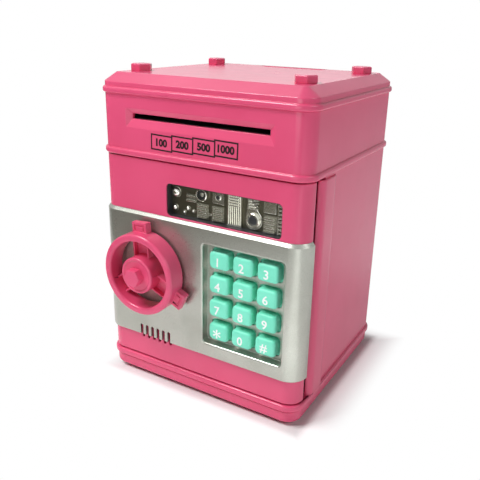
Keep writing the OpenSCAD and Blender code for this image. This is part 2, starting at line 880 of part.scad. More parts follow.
module door_shell() {
    color(pink) difference() {
        union() {
            difference() {
                intersection() {
                    column(0, door_z, door_top_z);
                    block([-body_w, front_y - 1, door_z], [body_w, front_y + door_d, door_top_z]);
                }
                column(-wall, door_z + wall, door_top_z - wall);
            }
            on_front() {
                plate(-relief_in, -wall / 2) window_shape(collar_t);
                plate(door_back_z, -wall / 2) at_posts() circle(r = post_r);
                plate(disc_front + move_gap, -wall / 2) translate([wheel_x, wheel_z]) circle(r = shaft_r + 2);
            }
            rod_z(hinge_x, hinge_y, hinge_boss_r, door_z, door_z + hinge_l + 1);
            rod_z(hinge_x, hinge_y, hinge_boss_r, door_top_z - hinge_l - 1, door_top_z);
        }
        rod_z(hinge_x, hinge_y, hinge_pin_r + run_fit, door_z - 1, door_z + hinge_l);
        rod_z(hinge_x, hinge_y, hinge_pin_r + run_fit, door_top_z - hinge_l, door_top_z + 1);
        on_front() {
            plate(-door_d, 5) window_shape(0);
            plate(-wall - 1, 5) tray_shape(tray_t);
            plate(-wall - 1, 5) grille_shape();
            plate(-door_d, 5) translate([wheel_x, wheel_z]) circle(r = shaft_r + run_fit);
            plate(door_back_z - 1, door_back_z + 5) at_posts() circle(r = screw_r);
        }
    }
}

module door_back() {
    color(pink) difference() {
        translate([0, front_y + door_d - back_t, 0]) rotate([90, 0, 0]) mirror([0, 0, 1])
            linear_extrude(back_t) difference() {
                translate([0, (door_z + door_top_z) / 2])
                    square([2 * (inner_x - seat_gap), door_h - 2 * (wall + seat_gap)], center = true);
                for (z = [door_z, door_top_z]) {
                    translate([hinge_x, z]) square(2 * (hinge_l + 1 + seat_gap), center = true);
                }
            }
        on_front() {
            plate(-door_d - 1, 0) translate([wheel_x, wheel_z]) circle(r = shaft_r + run_fit);
            plate(-door_d - 1, 0) at_posts() circle(r = screw_r);
        }
    }
}

module door_screws() {
    color(steel) on_front() at_posts() translate([0, 0, -door_d]) mirror([0, 0, 1])
        screw(screw_r, back_t + 4, 2, 1);
}

module fascia() {
    low = door_z + fascia_up;
    color(silver) difference() {
        union() {
            difference() {
                intersection() {
                    column(fascia_t, low, low + fascia_h);
                    block([-body_w, front_y - 5, low], [body_w, front_y + fascia_wrap, low + fascia_h]);
                }
                column(0, low - 1, low + fascia_h + 1);
            }
            on_front() difference() {
                plate(-tray_in - tray_t, 0.5) tray_shape(tray_t);
                plate(-tray_in, 5) tray_shape(0);
            }
        }
        on_front() {
            plate(-tray_in, 5) tray_shape(0);
            plate(-wall, 5) grille_shape();
            plate(-wall, 5) translate([wheel_x, wheel_z]) circle(r = shaft_r + run_fit);
            for (col = [0:2], row = [0:3]) {
                plate(-door_d, 5) translate(key_place(col, row))
                    round_rect(key_w + 2 * key_gap, key_h + 2 * key_gap, 2 + key_gap);
            }
        }
    }
}

// The plate behind the window: rivets, gauges, finned blocks and a flange, all in relief
module relief_plate() {
    x = window_x;
    z = window_z;
    deep = -relief_in;
    color("#8d8f88") on_front() {
        plate(deep - relief_t, deep) window_shape(relief_lip);
        for (rivet = [[3.6, 13.2, 3], [2.6, 3.6, 1.6], [9, 1.8, 1.1], [11.5, 4.6, 1.3], [14.6, 3.6, 1]]) {
            plate(deep, deep + 1.6) translate([x + rivet[0], z + rivet[1]]) circle(r = rivet[2]);
        }
        for (ring = [[20.6, 14.4, 3.6], [31, 14.2, 3.2]]) {
            plate(deep, deep + 1.6) translate([x + ring[0], z + ring[1]]) difference() {
                circle(r = ring[2]);
                circle(r = ring[2] - 1.1);
            }
        }
        for (bar = [0:1]) {
            plate(deep, deep + 1.2) translate([x + 10.5, z + 9.4 + 2.6 * bar]) square([6.4, 1.4]);
        }
        for (block_x = [17.6, 27.4], rib = [0:4]) {
            plate(deep, deep + 1.4) translate([x + block_x, z + 1.6 + 1.7 * rib]) square([7.4, 1]);
        }
        plate(deep, deep + 1.8) translate([x + 37.2, z + 0.6]) square([8.6, window_h - 0.6]);
        plate(deep, deep + 1) translate([x + 52, z + 6]) circle(r = 5.4);
        plate(deep + 1, deep + 2) translate([x + 52, z + 6]) difference() {
            circle(r = 4.2);
            circle(r = 2.4);
        }
        for (rib = [0:3]) {
            plate(deep, deep + 1.4) translate([x + 49, z + 12.6 + 1.4 * rib]) square([6, 0.8]);
        }
        for (rib = [0:4]) {
            plate(deep, deep + 1.4) translate([x + 58.6, z + 1 + 1.8 * rib]) square([7, 1.1]);
        }
        for (rung = [0:6]) {
            plate(deep, deep + 1.2) translate([x + 67.2, z + 1.2 + 2.3 * rung]) square([3, 1]);
        }
    }
}

module key_mat() {
    color(dark) on_front() {
        plate(mat_back, mat_back + mat_t) translate([keypad_x, keypad_z])
            round_rect(tray_w, tray_h, 2);
        for (col = [0:2], row = [0:3]) {
            plate(mat_back, mat_back + mat_t + dome_t) translate(key_place(col, row)) circle(r = 3);
        }
    }
}

module keypad_board() {
    color(board_green) on_front() {
        plate(door_back_z, mat_back) translate([keypad_x, keypad_z])
            square([tray_w + 4, tray_h + 4], center = true);
    }
}

module speaker() {
    color(dark) on_front() translate([grille_x, grille_y]) {
        plate(-wall - 2, -wall) difference() {
            circle(r = speaker_r);
            circle(r = speaker_r - 2);
        }
        plate(-wall - 4, -wall - 2) circle(r = speaker_r);
        plate(door_back_z, -wall - 4) circle(r = speaker_r / 2);
    }
}

// The solenoid stands over the lock disc and pushes its plunger down into a notch
module lock_solenoid() {
    color(steel) difference() {
        on_front() plate(door_back_z, -wall - move_gap)
            translate([wheel_x, solenoid_z + solenoid_h / 2]) square([solenoid_w, solenoid_h], center = true);
        translate([wheel_x, front_y - plunger_mid, 0])
            cylinder(r = plunger_r + run_fit, h = roof_top_z);
    }
}

module lock_plunger() {
    top = solenoid_z + solenoid_h + plunger_spring_l;
    color(steel) translate([wheel_x, front_y - plunger_mid, 0]) {
        translate([0, 0, plunger_tip_z]) cylinder(r = plunger_r, h = top - plunger_tip_z);
        translate([0, 0, top]) cylinder(r = plunger_head_r, h = plunger_head_l);
    }
}

module plunger_spring() {
    color(steel) translate([wheel_x, front_y - plunger_mid, solenoid_z + solenoid_h])
        coil(2.3, 0.3, plunger_spring_l, 4);
}

// ---------------------------------------------------------------- handwheel

module handwheel() {
    ring_back = ring_out - ring_t;
    ring_in = ring_r - ring_w;
    ease = 0.8;
    spoke_w = 10.8;
    rib_t = 1;
    rib_front = ring_back + 5.7;
    lug_front = ring_back + 5.2;
    lug_w = 8.5;
    turns = [94.2, 214.2, 334.2];
    color(pink) on_front() translate([wheel_x, wheel_z, 0]) difference() {
        union() {
            rotate_extrude() polygon([
                [ring_in, ring_back + ease], [ring_in + ease, ring_back], [ring_r - ease, ring_back],
                [ring_r, ring_back + ease], [ring_r, ring_out - ease], [ring_r - ease, ring_out],
                [ring_in + ease, ring_out], [ring_in, ring_out - ease],
            ]);
            plate(fascia_t + move_gap, hub_out) circle(r = hub_r);
            for (a = turns) {
                rotate([0, 0, a]) {
                    block([hub_r - 2, -spoke_w / 2, ring_back + 1],
                          [ring_in + 1, spoke_w / 2, ring_back + 2.6]);
                    for (y = [-spoke_w / 2, spoke_w / 2 - rib_t]) {
                        block([hub_r - 2, y, ring_back + 1], [ring_in + 1, y + rib_t, rib_front]);
                    }
                    // A lug is narrower at its front
                    translate([ring_r - 1.3, 0, 0]) rotate([90, 0, 90])
                        linear_extrude(lug_r - ring_r + 1.3) polygon([
                            [-spoke_w / 2, ring_back + 1.2], [spoke_w / 2, ring_back + 1.2],
                            [lug_w / 2, lug_front], [-lug_w / 2, lug_front],
                        ]);
                }
            }
        }
        // Blind hole for the shaft, and the recess in the front of each lug
        plate(-1, hub_out - 4) circle(r = shaft_r);
        for (a = turns) {
            rotate([0, 0, a]) block([ring_r + 0.8, 1.6 - lug_w / 2, lug_front - 1],
                                    [lug_r - 1.6, lug_w / 2 - 1.6, lug_front + 1]);
        }
    }
}

module hub_bolt() {
    color(pink) on_front() translate([wheel_x, wheel_z, hub_out])
        cylinder(r = hub_bolt_r, h = hub_bolt_h, $fn = 6);
}

module wheel_shaft() {
    color(steel) on_front() plate(cam_front - cam_t, hub_out - 4) translate([wheel_x, wheel_z])
        difference() {
            circle(r = shaft_r);
            circle(r = screw_r);
        }
}

module lock_disc() {
    color(steel) on_front() plate(disc_front - disc_t, disc_front) translate([wheel_x, wheel_z])
        difference() {
            circle(r = disc_r);
            circle(r = shaft_r);
            translate([-notch_w / 2, disc_r - notch_d]) square([notch_w, notch_d + 1]);
            translate([-disc_r - 1, -notch_w / 2]) square([notch_d + 1, notch_w]);
        }
}

module latch_cam() {
    color(steel) on_front() plate(cam_front - cam_t, cam_front) translate([wheel_x, wheel_z]) difference() {
        union() {
            circle(r = cam_w / 2 + 2);
            translate([-cam_w / 2, -cam_l]) square([cam_w, cam_l]);
        }
        circle(r = shaft_r);
    }
}

module cam_screw() {
    color(steel) on_front() translate([wheel_x, wheel_z, cam_front - cam_t]) mirror([0, 0, 1])
        screw(screw_r, 10, 4.5, 1.2);
}

// ---------------------------------------------------------------- keys

function key_place(col, row) = [keypad_x + (col - 1) * key_step_x, keypad_z + (1.5 - row) * key_step_z];

module key(col, row) {
    ease = 1.2;
    color(teal) on_front() translate(key_place(col, row)) {
        plate(flange_front - flange_t, key_front - ease) round_rect(key_w, key_h, 2);
        plate(key_front - ease, key_front) round_rect(key_w - ease, key_h - ease, 2);
        plate(flange_front - flange_t, flange_front)
            round_rect(key_w + 2 * (key_gap + flange_out), key_h + 2 * (key_gap + flange_out), 2);
    }
}

module key_1() { key(0, 0); }
module key_2() { key(1, 0); }
module key_3() { key(2, 0); }
module key_4() { key(0, 1); }
module key_5() { key(1, 1); }
module key_6() { key(2, 1); }
module key_7() { key(0, 2); }
module key_8() { key(1, 2); }
module key_9() { key(2, 2); }
module key_star() { key(0, 3); }
module key_0() { key(1, 3); }
module key_hash() { key(2, 3); }

cabinet_shell();
head_shell();
roof();
roof_bolts();
feet();
battery_box();
battery_cover();
battery_screw();
batteries();
battery_springs();
battery_contacts();
compartment_floor();
floor_screws();
latch_keeper();
hinge_pins();
feed_deck();
deck_screws();
bill_guide_lower();
bill_guide_upper();
feed_brackets();
coin_chute();
feed_motor();
feed_board();
bill_sensor();
drive_shaft();
drive_tyres();
drive_gear();
idler_shaft();
idler_tyres();
motor_shaft();
motor_pinion();
door_shell();
door_back();
door_screws();
fascia();
relief_plate();
key_mat();
keypad_board();
speaker();
lock_solenoid();
handwheel();
hub_bolt();
wheel_shaft();
lock_disc();
latch_cam();
cam_screw();
lock_plunger();
plunger_spring();
key_1();
key_2();
key_3();
key_4();
key_5();
key_6();
key_7();
key_8();
key_9();
key_star();
key_0();
key_hash();
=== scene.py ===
"""Looks of a toy safe coin bank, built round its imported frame.

Sizes are in millimetres until a piece is made; pieces and frame are in metres. X runs
to the right, the door faces -Y and Z is up. Shapes on the door are drawn in the door's
own view: x to the right, y up from the table and z out of the front face.
"""

from __future__ import annotations

import logging
import math
from abc import ABC, abstractmethod
from collections.abc import Sequence
from dataclasses import dataclass, field
from enum import Enum
from typing import Any

import bmesh
import bpy
from mathutils import Matrix, Vector


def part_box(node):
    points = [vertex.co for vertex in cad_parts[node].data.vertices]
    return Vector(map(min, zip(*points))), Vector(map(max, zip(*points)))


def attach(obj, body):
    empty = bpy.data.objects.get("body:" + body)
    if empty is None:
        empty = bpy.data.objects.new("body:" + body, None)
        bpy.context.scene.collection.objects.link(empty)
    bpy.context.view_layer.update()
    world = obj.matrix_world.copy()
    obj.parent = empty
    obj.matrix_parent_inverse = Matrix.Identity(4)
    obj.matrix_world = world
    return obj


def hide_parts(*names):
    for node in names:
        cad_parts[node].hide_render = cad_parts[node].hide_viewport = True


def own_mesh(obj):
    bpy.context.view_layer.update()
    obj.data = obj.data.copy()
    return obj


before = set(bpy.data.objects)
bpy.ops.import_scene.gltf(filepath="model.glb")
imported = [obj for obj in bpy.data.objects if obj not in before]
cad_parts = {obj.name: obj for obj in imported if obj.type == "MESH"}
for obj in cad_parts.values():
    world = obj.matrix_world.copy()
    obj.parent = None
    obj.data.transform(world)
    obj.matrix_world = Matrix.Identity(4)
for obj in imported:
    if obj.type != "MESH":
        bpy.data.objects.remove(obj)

MM = 0.001
SHARP_ANGLE = math.radians(40)
FAR = 99.0
WHITE = (1.0, 1.0, 1.0, 1.0)
LOG = logging.getLogger("coin_bank")

Point = tuple[float, float]
Place = tuple[float, float, float]
Colour = tuple[float, float, float, float]
Modifiers = Sequence[tuple[str, dict[str, Any]]]


# ---------------------------------------------------------------- outlines


def arc(centre: Point, radius: float, start: float, end: float, steps: int = 6) -> list[Point]:
    """Points along an arc.

    Args:
        centre: Middle of the circle.
        radius: Radius of the circle.
        start: Angle of the first point, in degrees.
        end: Angle of the last point, in degrees.
        steps: Number of chords.

    Returns:
        The points, both ends included.
    """
    angles = [math.radians(start + (end - start) * i / steps) for i in range(steps + 1)]
    return [(centre[0] + radius * math.cos(a), centre[1] + radius * math.sin(a)) for a in angles]


def circle(radius: float, at: Point = (0, 0), steps: int = 48) -> list[Point]:
    """Outline of a circle, anticlockwise."""
    return arc(at, radius, 0, 360, steps)[:-1]


def round_rect(w: float, h: float, r: float, at: Point = (0, 0), steps: int = 6) -> list[Point]:
    """Outline of a rectangle with round corners.

    Args:
        w: Width.
        h: Height.
        r: Radius of the corners.
        at: Middle of the rectangle.
        steps: Chords in each corner.

    Returns:
        The outline, anticlockwise.
    """
    x, y = w / 2 - r, h / 2 - r
    corners = [(x, y, 0), (-x, y, 90), (-x, -y, 180), (x, -y, 270)]
    return [
        point
        for cx, cy, turn in corners
        for point in arc((at[0] + cx, at[1] + cy), r, turn, turn + 90, steps)
    ]


def rect(left: float, right: float, low: float, high: float) -> list[Point]:
    """Outline of a rectangle between two pairs of sides, anticlockwise."""
    return [(left, low), (right, low), (right, high), (left, high)]


def hexagon(radius: float, turn: float = 0) -> list[Point]:
    """Outline of a hexagon with its first corner at an angle in degrees."""
    return arc((0, 0), radius, turn, turn + 360, 6)[:-1]


# ---------------------------------------------------------------- meshes


def in_scene(name: str, data: bpy.types.ID) -> bpy.types.Object:
    """A new object with some data, linked to the scene.

    Args:
        name: Name of the object.
        data: Its mesh, curve, lamp or camera.

    Returns:
        The object.
    """
    made = bpy.data.objects.new(name, data)
    bpy.context.scene.collection.objects.link(made)
    return made


def settled(host: bpy.types.Object) -> bpy.types.Mesh:
    """A scratch object's mesh with its modifiers applied.

    Args:
        host: The object, which is removed.

    Returns:
        A new mesh.
    """
    graph = bpy.context.evaluated_depsgraph_get()
    result = bpy.data.meshes.new_from_object(host.evaluated_get(graph))
    bpy.data.objects.remove(host)
    return result


def modified(mesh: bpy.types.Mesh, modifiers: Modifiers) -> bpy.types.Mesh:
    """A mesh with modifiers applied.

    Args:
        mesh: The mesh to start from.
        modifiers: Type and settings of each modifier, in order.

    Returns:
        A new mesh.
    """
    host = in_scene("scratch", mesh)
    for kind, settings in modifiers:
        modifier = host.modifiers.new(kind, kind)
        for key, value in settings.items():
            setattr(modifier, key, value)
    return settled(host)


class Solid:
    """A closed shape in millimetres that grows from simple parts."""

    def __init__(self, mesh: bpy.types.Mesh | None = None) -> None:
        """Start empty, or from a mesh.

        Args:
            mesh: The mesh to start from, if any.
        """
        self.bm = bmesh.new()
        if mesh is not None:
            self.bm.from_mesh(mesh)

    def loft(self, rings: Sequence[Sequence[Sequence[float]]], tube: bool = False) -> Solid:
        """Add a skin over rings of points.

        Args:
            rings: The rings, with as many points in each.
            tube: Whether the last ring joins the first; otherwise both ends are closed.

        Returns:
            This solid.
        """
        rows = [[self.bm.verts.new(point) for point in ring] for ring in rings]
        count = len(rows[0])
        made = []
        for low, high in zip(rows, rows[1:] + rows[:1] if tube else rows[1:]):
            for i in range(count):
                j = (i + 1) % count
                made.append(self.bm.faces.new((low[i], low[j], high[j], high[i])))
        if not tube:
            made.append(self.bm.faces.new(list(reversed(rows[0]))))
            made.append(self.bm.faces.new(rows[-1]))
        bmesh.ops.recalc_face_normals(self.bm, faces=made)
        return self

    def stack(self, layers: Sequence[tuple[Sequence[Point], float]]) -> Solid:
        """Add a skin over flat outlines, each at its own level along z."""
        return self.loft([[(x, y, z) for x, y in outline] for outline, z in layers])

    def prism(self, outline: Sequence[Point], low: float, high: float) -> Solid:
        """Add an outline's prism between two levels along z."""
        return self.stack([(outline, low), (outline, high)])

    def block(self, low: Sequence[float], high: Sequence[float]) -> Solid:
        """Add a block between two corners."""
        return self.prism(rect(low[0], high[0], low[1], high[1]), low[2], high[2])

    def turned(self, profile: Sequence[Point], at: Point = (0, 0), tube: bool = False,
               steps: int = 48) -> Solid:
        """Add a shape turned round an axis along z.

        Args:
            profile: Radius and level of each point.
            at: Place of the axis.
            tube: Whether the profile is a closed loop round a hole.
            steps: Chords in a turn.

        Returns:
            This solid.
        """
        rings = [[(x, y, z) for x, y in circle(r, at, steps)] for r, z in profile]
        return self.loft(rings, tube)

    def peg(self, at: Point, radius: float, low: float, high: float, ease: float = 0) -> Solid:
        """Add a round peg along z, with its upper edge eased by a radius."""
        top = arc((radius - ease, high - ease), ease, 0, 90, 4) if ease else [(radius, high)]
        return self.turned([(radius, low), *top], at, steps=32)

    def moved(self, matrix: Matrix) -> Solid:
        """Carry the whole solid by a matrix."""
        self.bm.transform(matrix)
        return self

    def shifted(self, x: float, y: float, z: float) -> Solid:
        """Carry the whole solid along the axes."""
        return self.moved(Matrix.Translation((x, y, z)))

    def holding(self, *others: Solid) -> Solid:
        """Take in the faces of other solids as they are.

        Args:
            others: The other solids.

        Returns:
            This solid.
        """
        for other in others:
            self.bm.from_mesh(other.mesh())
        return self

    def mesh(self) -> bpy.types.Mesh:
        """A new mesh of this solid.

        Returns:
            The mesh.
        """
        mesh = bpy.data.meshes.new("solid")
        self.bm.to_mesh(mesh)
        return mesh

    def combined(self, others: Sequence[Solid], operation: str) -> Solid:
        """This solid joined with others, or cut by them.

        Args:
            others: The other solids.
            operation: The Boolean modifier's operation.

        Returns:
            A new solid.
        """
        tools = [in_scene("tool", other.mesh()) for other in others]
        steps = [
            ("BOOLEAN", {"operation": operation, "object": tool, "solver": "MANIFOLD"})
            for tool in tools
        ]
        result = Solid(modified(self.mesh(), steps))
        for tool in tools:
            bpy.data.objects.remove(tool)
        return result.cleaned()

    def joined(self, *others: Solid) -> Solid:
        """This solid and others as one."""
        return self.combined(others, "UNION")

    def cut(self, *others: Solid) -> Solid:
        """This solid without others."""
        return self.combined(others, "DIFFERENCE")

    def cleaned(self) -> Solid:
        """Merge doubled points and join faces that lie in one plane.

        Returns:
            This solid.
        """
        bmesh.ops.remove_doubles(self.bm, verts=self.bm.verts, dist=0.002)
        bmesh.ops.dissolve_limit(
            self.bm, angle_limit=math.radians(0.4), verts=self.bm.verts, edges=self.bm.edges
        )
        return self

    def eased(self, width: float, segments: int = 3, over: float = 40.0) -> Solid:
        """This solid with its sharp edges rounded.

        Args:
            width: Width of the rounding.
            segments: Facets across it.
            over: Angle, in degrees, over which an edge is sharp.

        Returns:
            A new solid.
        """
        bevel = {
            "width": width, "segments": segments, "limit_method": "ANGLE",
            "angle_limit": math.radians(over), "use_clamp_overlap": False,
        }
        return Solid(modified(self.mesh(), [("BEVEL", bevel)]))


def in_metres(solid: Solid) -> bpy.types.Mesh:
    """The solid's mesh in metres, shaded smooth between its sharp edges.

    Args:
        solid: The solid, in millimetres.

    Returns:
        The mesh.
    """
    mesh = solid.mesh()
    mesh.transform(Matrix.Scale(MM, 4))
    mesh.polygons.foreach_set("use_smooth", [True] * len(mesh.polygons))
    mesh.set_sharp_from_angle(angle=SHARP_ANGLE)
    return modified(mesh, [("WEIGHTED_NORMAL", {"keep_sharp": True, "weight": 80})])


def span(node: str) -> tuple[Vector, Vector]:
    """Lowest and highest corner of a node of the frame, in millimetres."""
    low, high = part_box(node)
    return low / MM, high / MM


def middle_of(node: str) -> tuple[float, float, float]:
    """Middle of a node's box, in millimetres."""
    return tuple((a + b) / 2 for a, b in zip(*span(node)))


def copy_of(node: str) -> Solid:
    """A merged copy of a node's mesh, in millimetres.

    Args:
        node: Name of the node.

    Returns:
        The copy.
    """
    solid = Solid(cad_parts[node].data)
    solid.bm.transform(Matrix.Scale(1 / MM, 4))
    return solid.cleaned()


# ---------------------------------------------------------------- node trees


class Sock:
    """A node's output that works in expressions; each operator adds a Math node."""

    def __init__(self, graph: Graph, socket: bpy.types.NodeSocket) -> None:
        """Wrap a socket of a graph."""
        self.graph = graph
        self.socket = socket

    def math(self, operation: str, first: Any, second: Any = 0.0) -> Sock:
        """The result of a Math node on two values."""
        return self.graph.value("ShaderNodeMath", {"operation": operation}, {0: first, 1: second})

    def __add__(self, other: Any) -> Sock:
        """Sum."""
        return self.math("ADD", self, other)

    def __sub__(self, other: Any) -> Sock:
        """Difference."""
        return self.math("SUBTRACT", self, other)

    def __rsub__(self, other: Any) -> Sock:
        """Difference from a number."""
        return self.math("SUBTRACT", other, self)

    def __mul__(self, other: Any) -> Sock:
        """Product."""
        return self.math("MULTIPLY", self, other)

    def __truediv__(self, other: Any) -> Sock:
        """Quotient."""
        return self.math("DIVIDE", self, other)

    __radd__ = __add__
    __rmul__ = __mul__

    def maximum(self, other: Any) -> Sock:
        """The larger of two values."""
        return self.math("MAXIMUM", self, other)

    def absolute(self) -> Sock:
        """The value without its sign."""
        return self.math("ABSOLUTE", self)

    def ramp(self, low: float, high: float) -> Sock:
        """Smooth step from 0 at one value to 1 at another.

        Args:
            low: The value that gives 0.
            high: The value that gives 1.

        Returns:
            The step.
        """
        settings = {"interpolation_type": "SMOOTHSTEP"}
        sockets = {"Value": self, "From Min": low, "From Max": high}
        return self.graph.value("ShaderNodeMapRange", settings, sockets)


def pick(sockets: Any, key: int | str) -> bpy.types.NodeSocket:
    """A node's socket by its number, or the live one with that name.

    Args:
        sockets: Inputs or outputs of a node.
        key: Number or name.

    Returns:
        The socket.
    """
    if isinstance(key, int):
        return sockets[key]
    return next(s for s in sockets if s.name == key and s.enabled)


class Graph:
    """A node tree whose nodes all come from one method."""

    def __init__(self, tree: bpy.types.NodeTree) -> None:
        """Empty a tree and take it over."""
        self.tree = tree
        tree.nodes.clear()

    def node(self, kind: str, settings: dict[str, Any] | None = None,
             sockets: dict[int | str, Any] | None = None) -> bpy.types.Node:
        """Add a node.

        Args:
            kind: Type of the node.
            settings: Its properties.
            sockets: A value or a link for each named or numbered input.

        Returns:
            The node.
        """
        made = self.tree.nodes.new(kind)
        for key, value in (settings or {}).items():
            setattr(made, key, value)
        for key, value in (sockets or {}).items():
            socket = pick(made.inputs, key)
            if isinstance(value, Sock):
                self.tree.links.new(value.socket, socket)
            else:
                socket.default_value = value
        return made

    def value(self, kind: str, settings: dict[str, Any] | None = None,
              sockets: dict[int | str, Any] | None = None, output: int | str = 0) -> Sock:
        """Add a node and give one of its outputs.

        Args:
            kind: Type of the node.
            settings: Its properties.
            sockets: Its inputs.
            output: Name or number of the output.

        Returns:
            The output.
        """
        node = self.node(kind, settings, sockets)
        if isinstance(output, int):
            live = [s for s in node.outputs if s.enabled]
            return Sock(self, live[output])
        return Sock(self, pick(node.outputs, output))

    def glow(self, strength: float, colour: Colour = WHITE) -> Sock:
        """Light of one strength and colour."""
        return self.value("ShaderNodeEmission", {}, {"Color": colour, "Strength": strength})

    def mixed(self, share: Sock, first: Sock, second: Sock) -> Sock:
        """A mix of two shaders by the share of the second."""
        return self.value("ShaderNodeMixShader", {}, {0: share, 1: first, 2: second})

    def along(self, place: Sock, x: float, y: float) -> Sock:
        """How far a place lies in a level direction."""
        settings, sockets = {"operation": "DOT_PRODUCT"}, {0: place, 1: (x, y, 0)}
        return self.value("ShaderNodeVectorMath", settings, sockets, "Value")

    def rays(self, *kinds: str) -> Sock:
        """1 for rays of some kinds and 0 for all others.

        Args:
            kinds: Outputs of the Light Path node.

        Returns:
            The share.
        """
        path = self.node("ShaderNodeLightPath")
        share = Sock(self, path.outputs[kinds[0]])
        for kind in kinds[1:]:
            share = share.maximum(Sock(self, path.outputs[kind]))
        return share


class GeometryGraph(Graph):
    """A Geometry Nodes tree that repeats a mesh or makes one from a rule."""

    def __init__(self, name: str, inputs: dict[str, str]) -> None:
        """Start a tree with named inputs.

        Args:
            name: Name of the tree.
            inputs: Socket type of each input besides the geometry and the material.
        """
        tree = bpy.data.node_groups.new(name, "GeometryNodeTree")
        super().__init__(tree)
        named = {"Geometry": "NodeSocketGeometry", **inputs, "Material": "NodeSocketMaterial"}
        for label, kind in named.items():
            tree.interface.new_socket(label, in_out="INPUT", socket_type=kind)
        tree.interface.new_socket("Geometry", in_out="OUTPUT", socket_type="NodeSocketGeometry")
        self.given = self.node("NodeGroupInput")

    def input(self, name: str) -> Sock:
        """One of the tree's inputs."""
        return Sock(self, pick(self.given.outputs, name))

    def close(self, geometry: Sock) -> None:
        """End the tree with real, dressed meshes.

        Args:
            geometry: What the tree has made.
        """
        real = self.value("GeometryNodeRealizeInstances", {}, {"Geometry": geometry})
        dressing = {"Geometry": real, "Material": self.input("Material")}
        dressed = self.value("GeometryNodeSetMaterial", {}, dressing)
        self.node("NodeGroupOutput", {}, {"Geometry": dressed})

    def grow(self, seed: Solid, finish: Finish, values: dict[str, Any]) -> Solid:
        """Run the tree on a shape.

        Args:
            seed: The shape that goes in.
            finish: The finish of what comes out.
            values: A value for each named input.

        Returns:
            The result.
        """
        host = in_scene("grown", seed.mesh())
        modifier = host.modifiers.new("grow", "NODES")
        modifier.node_group = self.tree
        values = {**values, "Material": finish.material()}
        for item in self.tree.interface.items_tree:
            if item.in_out == "INPUT" and item.name in values:
                modifier[item.identifier] = values[item.name]
        return Solid(settled(host))


def grid_graph() -> GeometryGraph:
    """Tree that puts a shape on every crossing of a grid.

    Returns:
        The tree.
    """
    graph = GeometryGraph("shape_on_grid", {
        "Columns": "NodeSocketInt", "Rows": "NodeSocketInt", "Step X": "NodeSocketFloat",
        "Step Y": "NodeSocketFloat", "Middle": "NodeSocketVector",
    })
    columns, rows = graph.input("Columns"), graph.input("Rows")
    grid = graph.value("GeometryNodeMeshGrid", {}, {
        "Size X": (columns - 1) * graph.input("Step X"), "Vertices X": columns,
        "Size Y": (rows - 1) * graph.input("Step Y"), "Vertices Y": rows,
    })
    placed = graph.value(
        "GeometryNodeTransform", {}, {"Geometry": grid, "Translation": graph.input("Middle")}
    )
    shapes = {"Points": placed, "Instance": graph.input("Geometry")}
    graph.close(graph.value("GeometryNodeInstanceOnPoints", {}, shapes))
    return graph


def ring_graph() -> GeometryGraph:
    """Tree that turns copies of a shape evenly round the z axis.

    Returns:
        The tree.
    """
    graph = GeometryGraph("shape_in_ring", {"Count": "NodeSocketInt", "Start": "NodeSocketFloat"})
    count = graph.input("Count")
    places = graph.value(
        "GeometryNodeMeshLine", {"mode": "OFFSET"}, {"Count": count, "Offset": (0, 0, 0)}
    )
    index = graph.value("GeometryNodeInputIndex")
    angle = index * math.tau / count
    euler = graph.value("ShaderNodeCombineXYZ", {}, {"Z": angle + graph.input("Start")})
    turn = graph.value("FunctionNodeEulerToRotation", {}, {"Euler": euler})
    shapes = {"Points": places, "Instance": graph.input("Geometry"), "Rotation": turn}
    graph.close(graph.value("GeometryNodeInstanceOnPoints", {}, shapes))
    return graph


def coil_graph() -> GeometryGraph:
    """Tree that winds a round wire into a coil along the z axis.

    Returns:
        The tree.
    """
    graph = GeometryGraph("wound_wire", {
        "Turns": "NodeSocketFloat", "Radius": "NodeSocketFloat",
        "Wire": "NodeSocketFloat", "Length": "NodeSocketFloat",
    })
    radius = graph.input("Radius")
    helix = graph.value("GeometryNodeCurveSpiral", {}, {
        "Resolution": 20, "Rotations": graph.input("Turns"), "Start Radius": radius,
        "End Radius": radius, "Height": graph.input("Length"),
    })
    section = graph.value(
        "GeometryNodeCurvePrimitiveCircle", {}, {"Resolution": 10, "Radius": graph.input("Wire")}
    )
    wire = {"Curve": helix, "Profile Curve": section, "Fill Caps": True}
    graph.close(graph.value("GeometryNodeCurveToMesh", {}, wire))
    return graph


# ---------------------------------------------------------------- finishes


def linear(red: int, green: int, blue: int) -> tuple[float, float, float, float]:
    """A screen colour, from 0 to 255 a channel, as a linear one."""
    parts = [c / 255 for c in (red, green, blue)]
    return (*[p / 12.92 if p <= 0.04045 else ((p + 0.055) / 1.055) ** 2.4 for p in parts], 1.0)


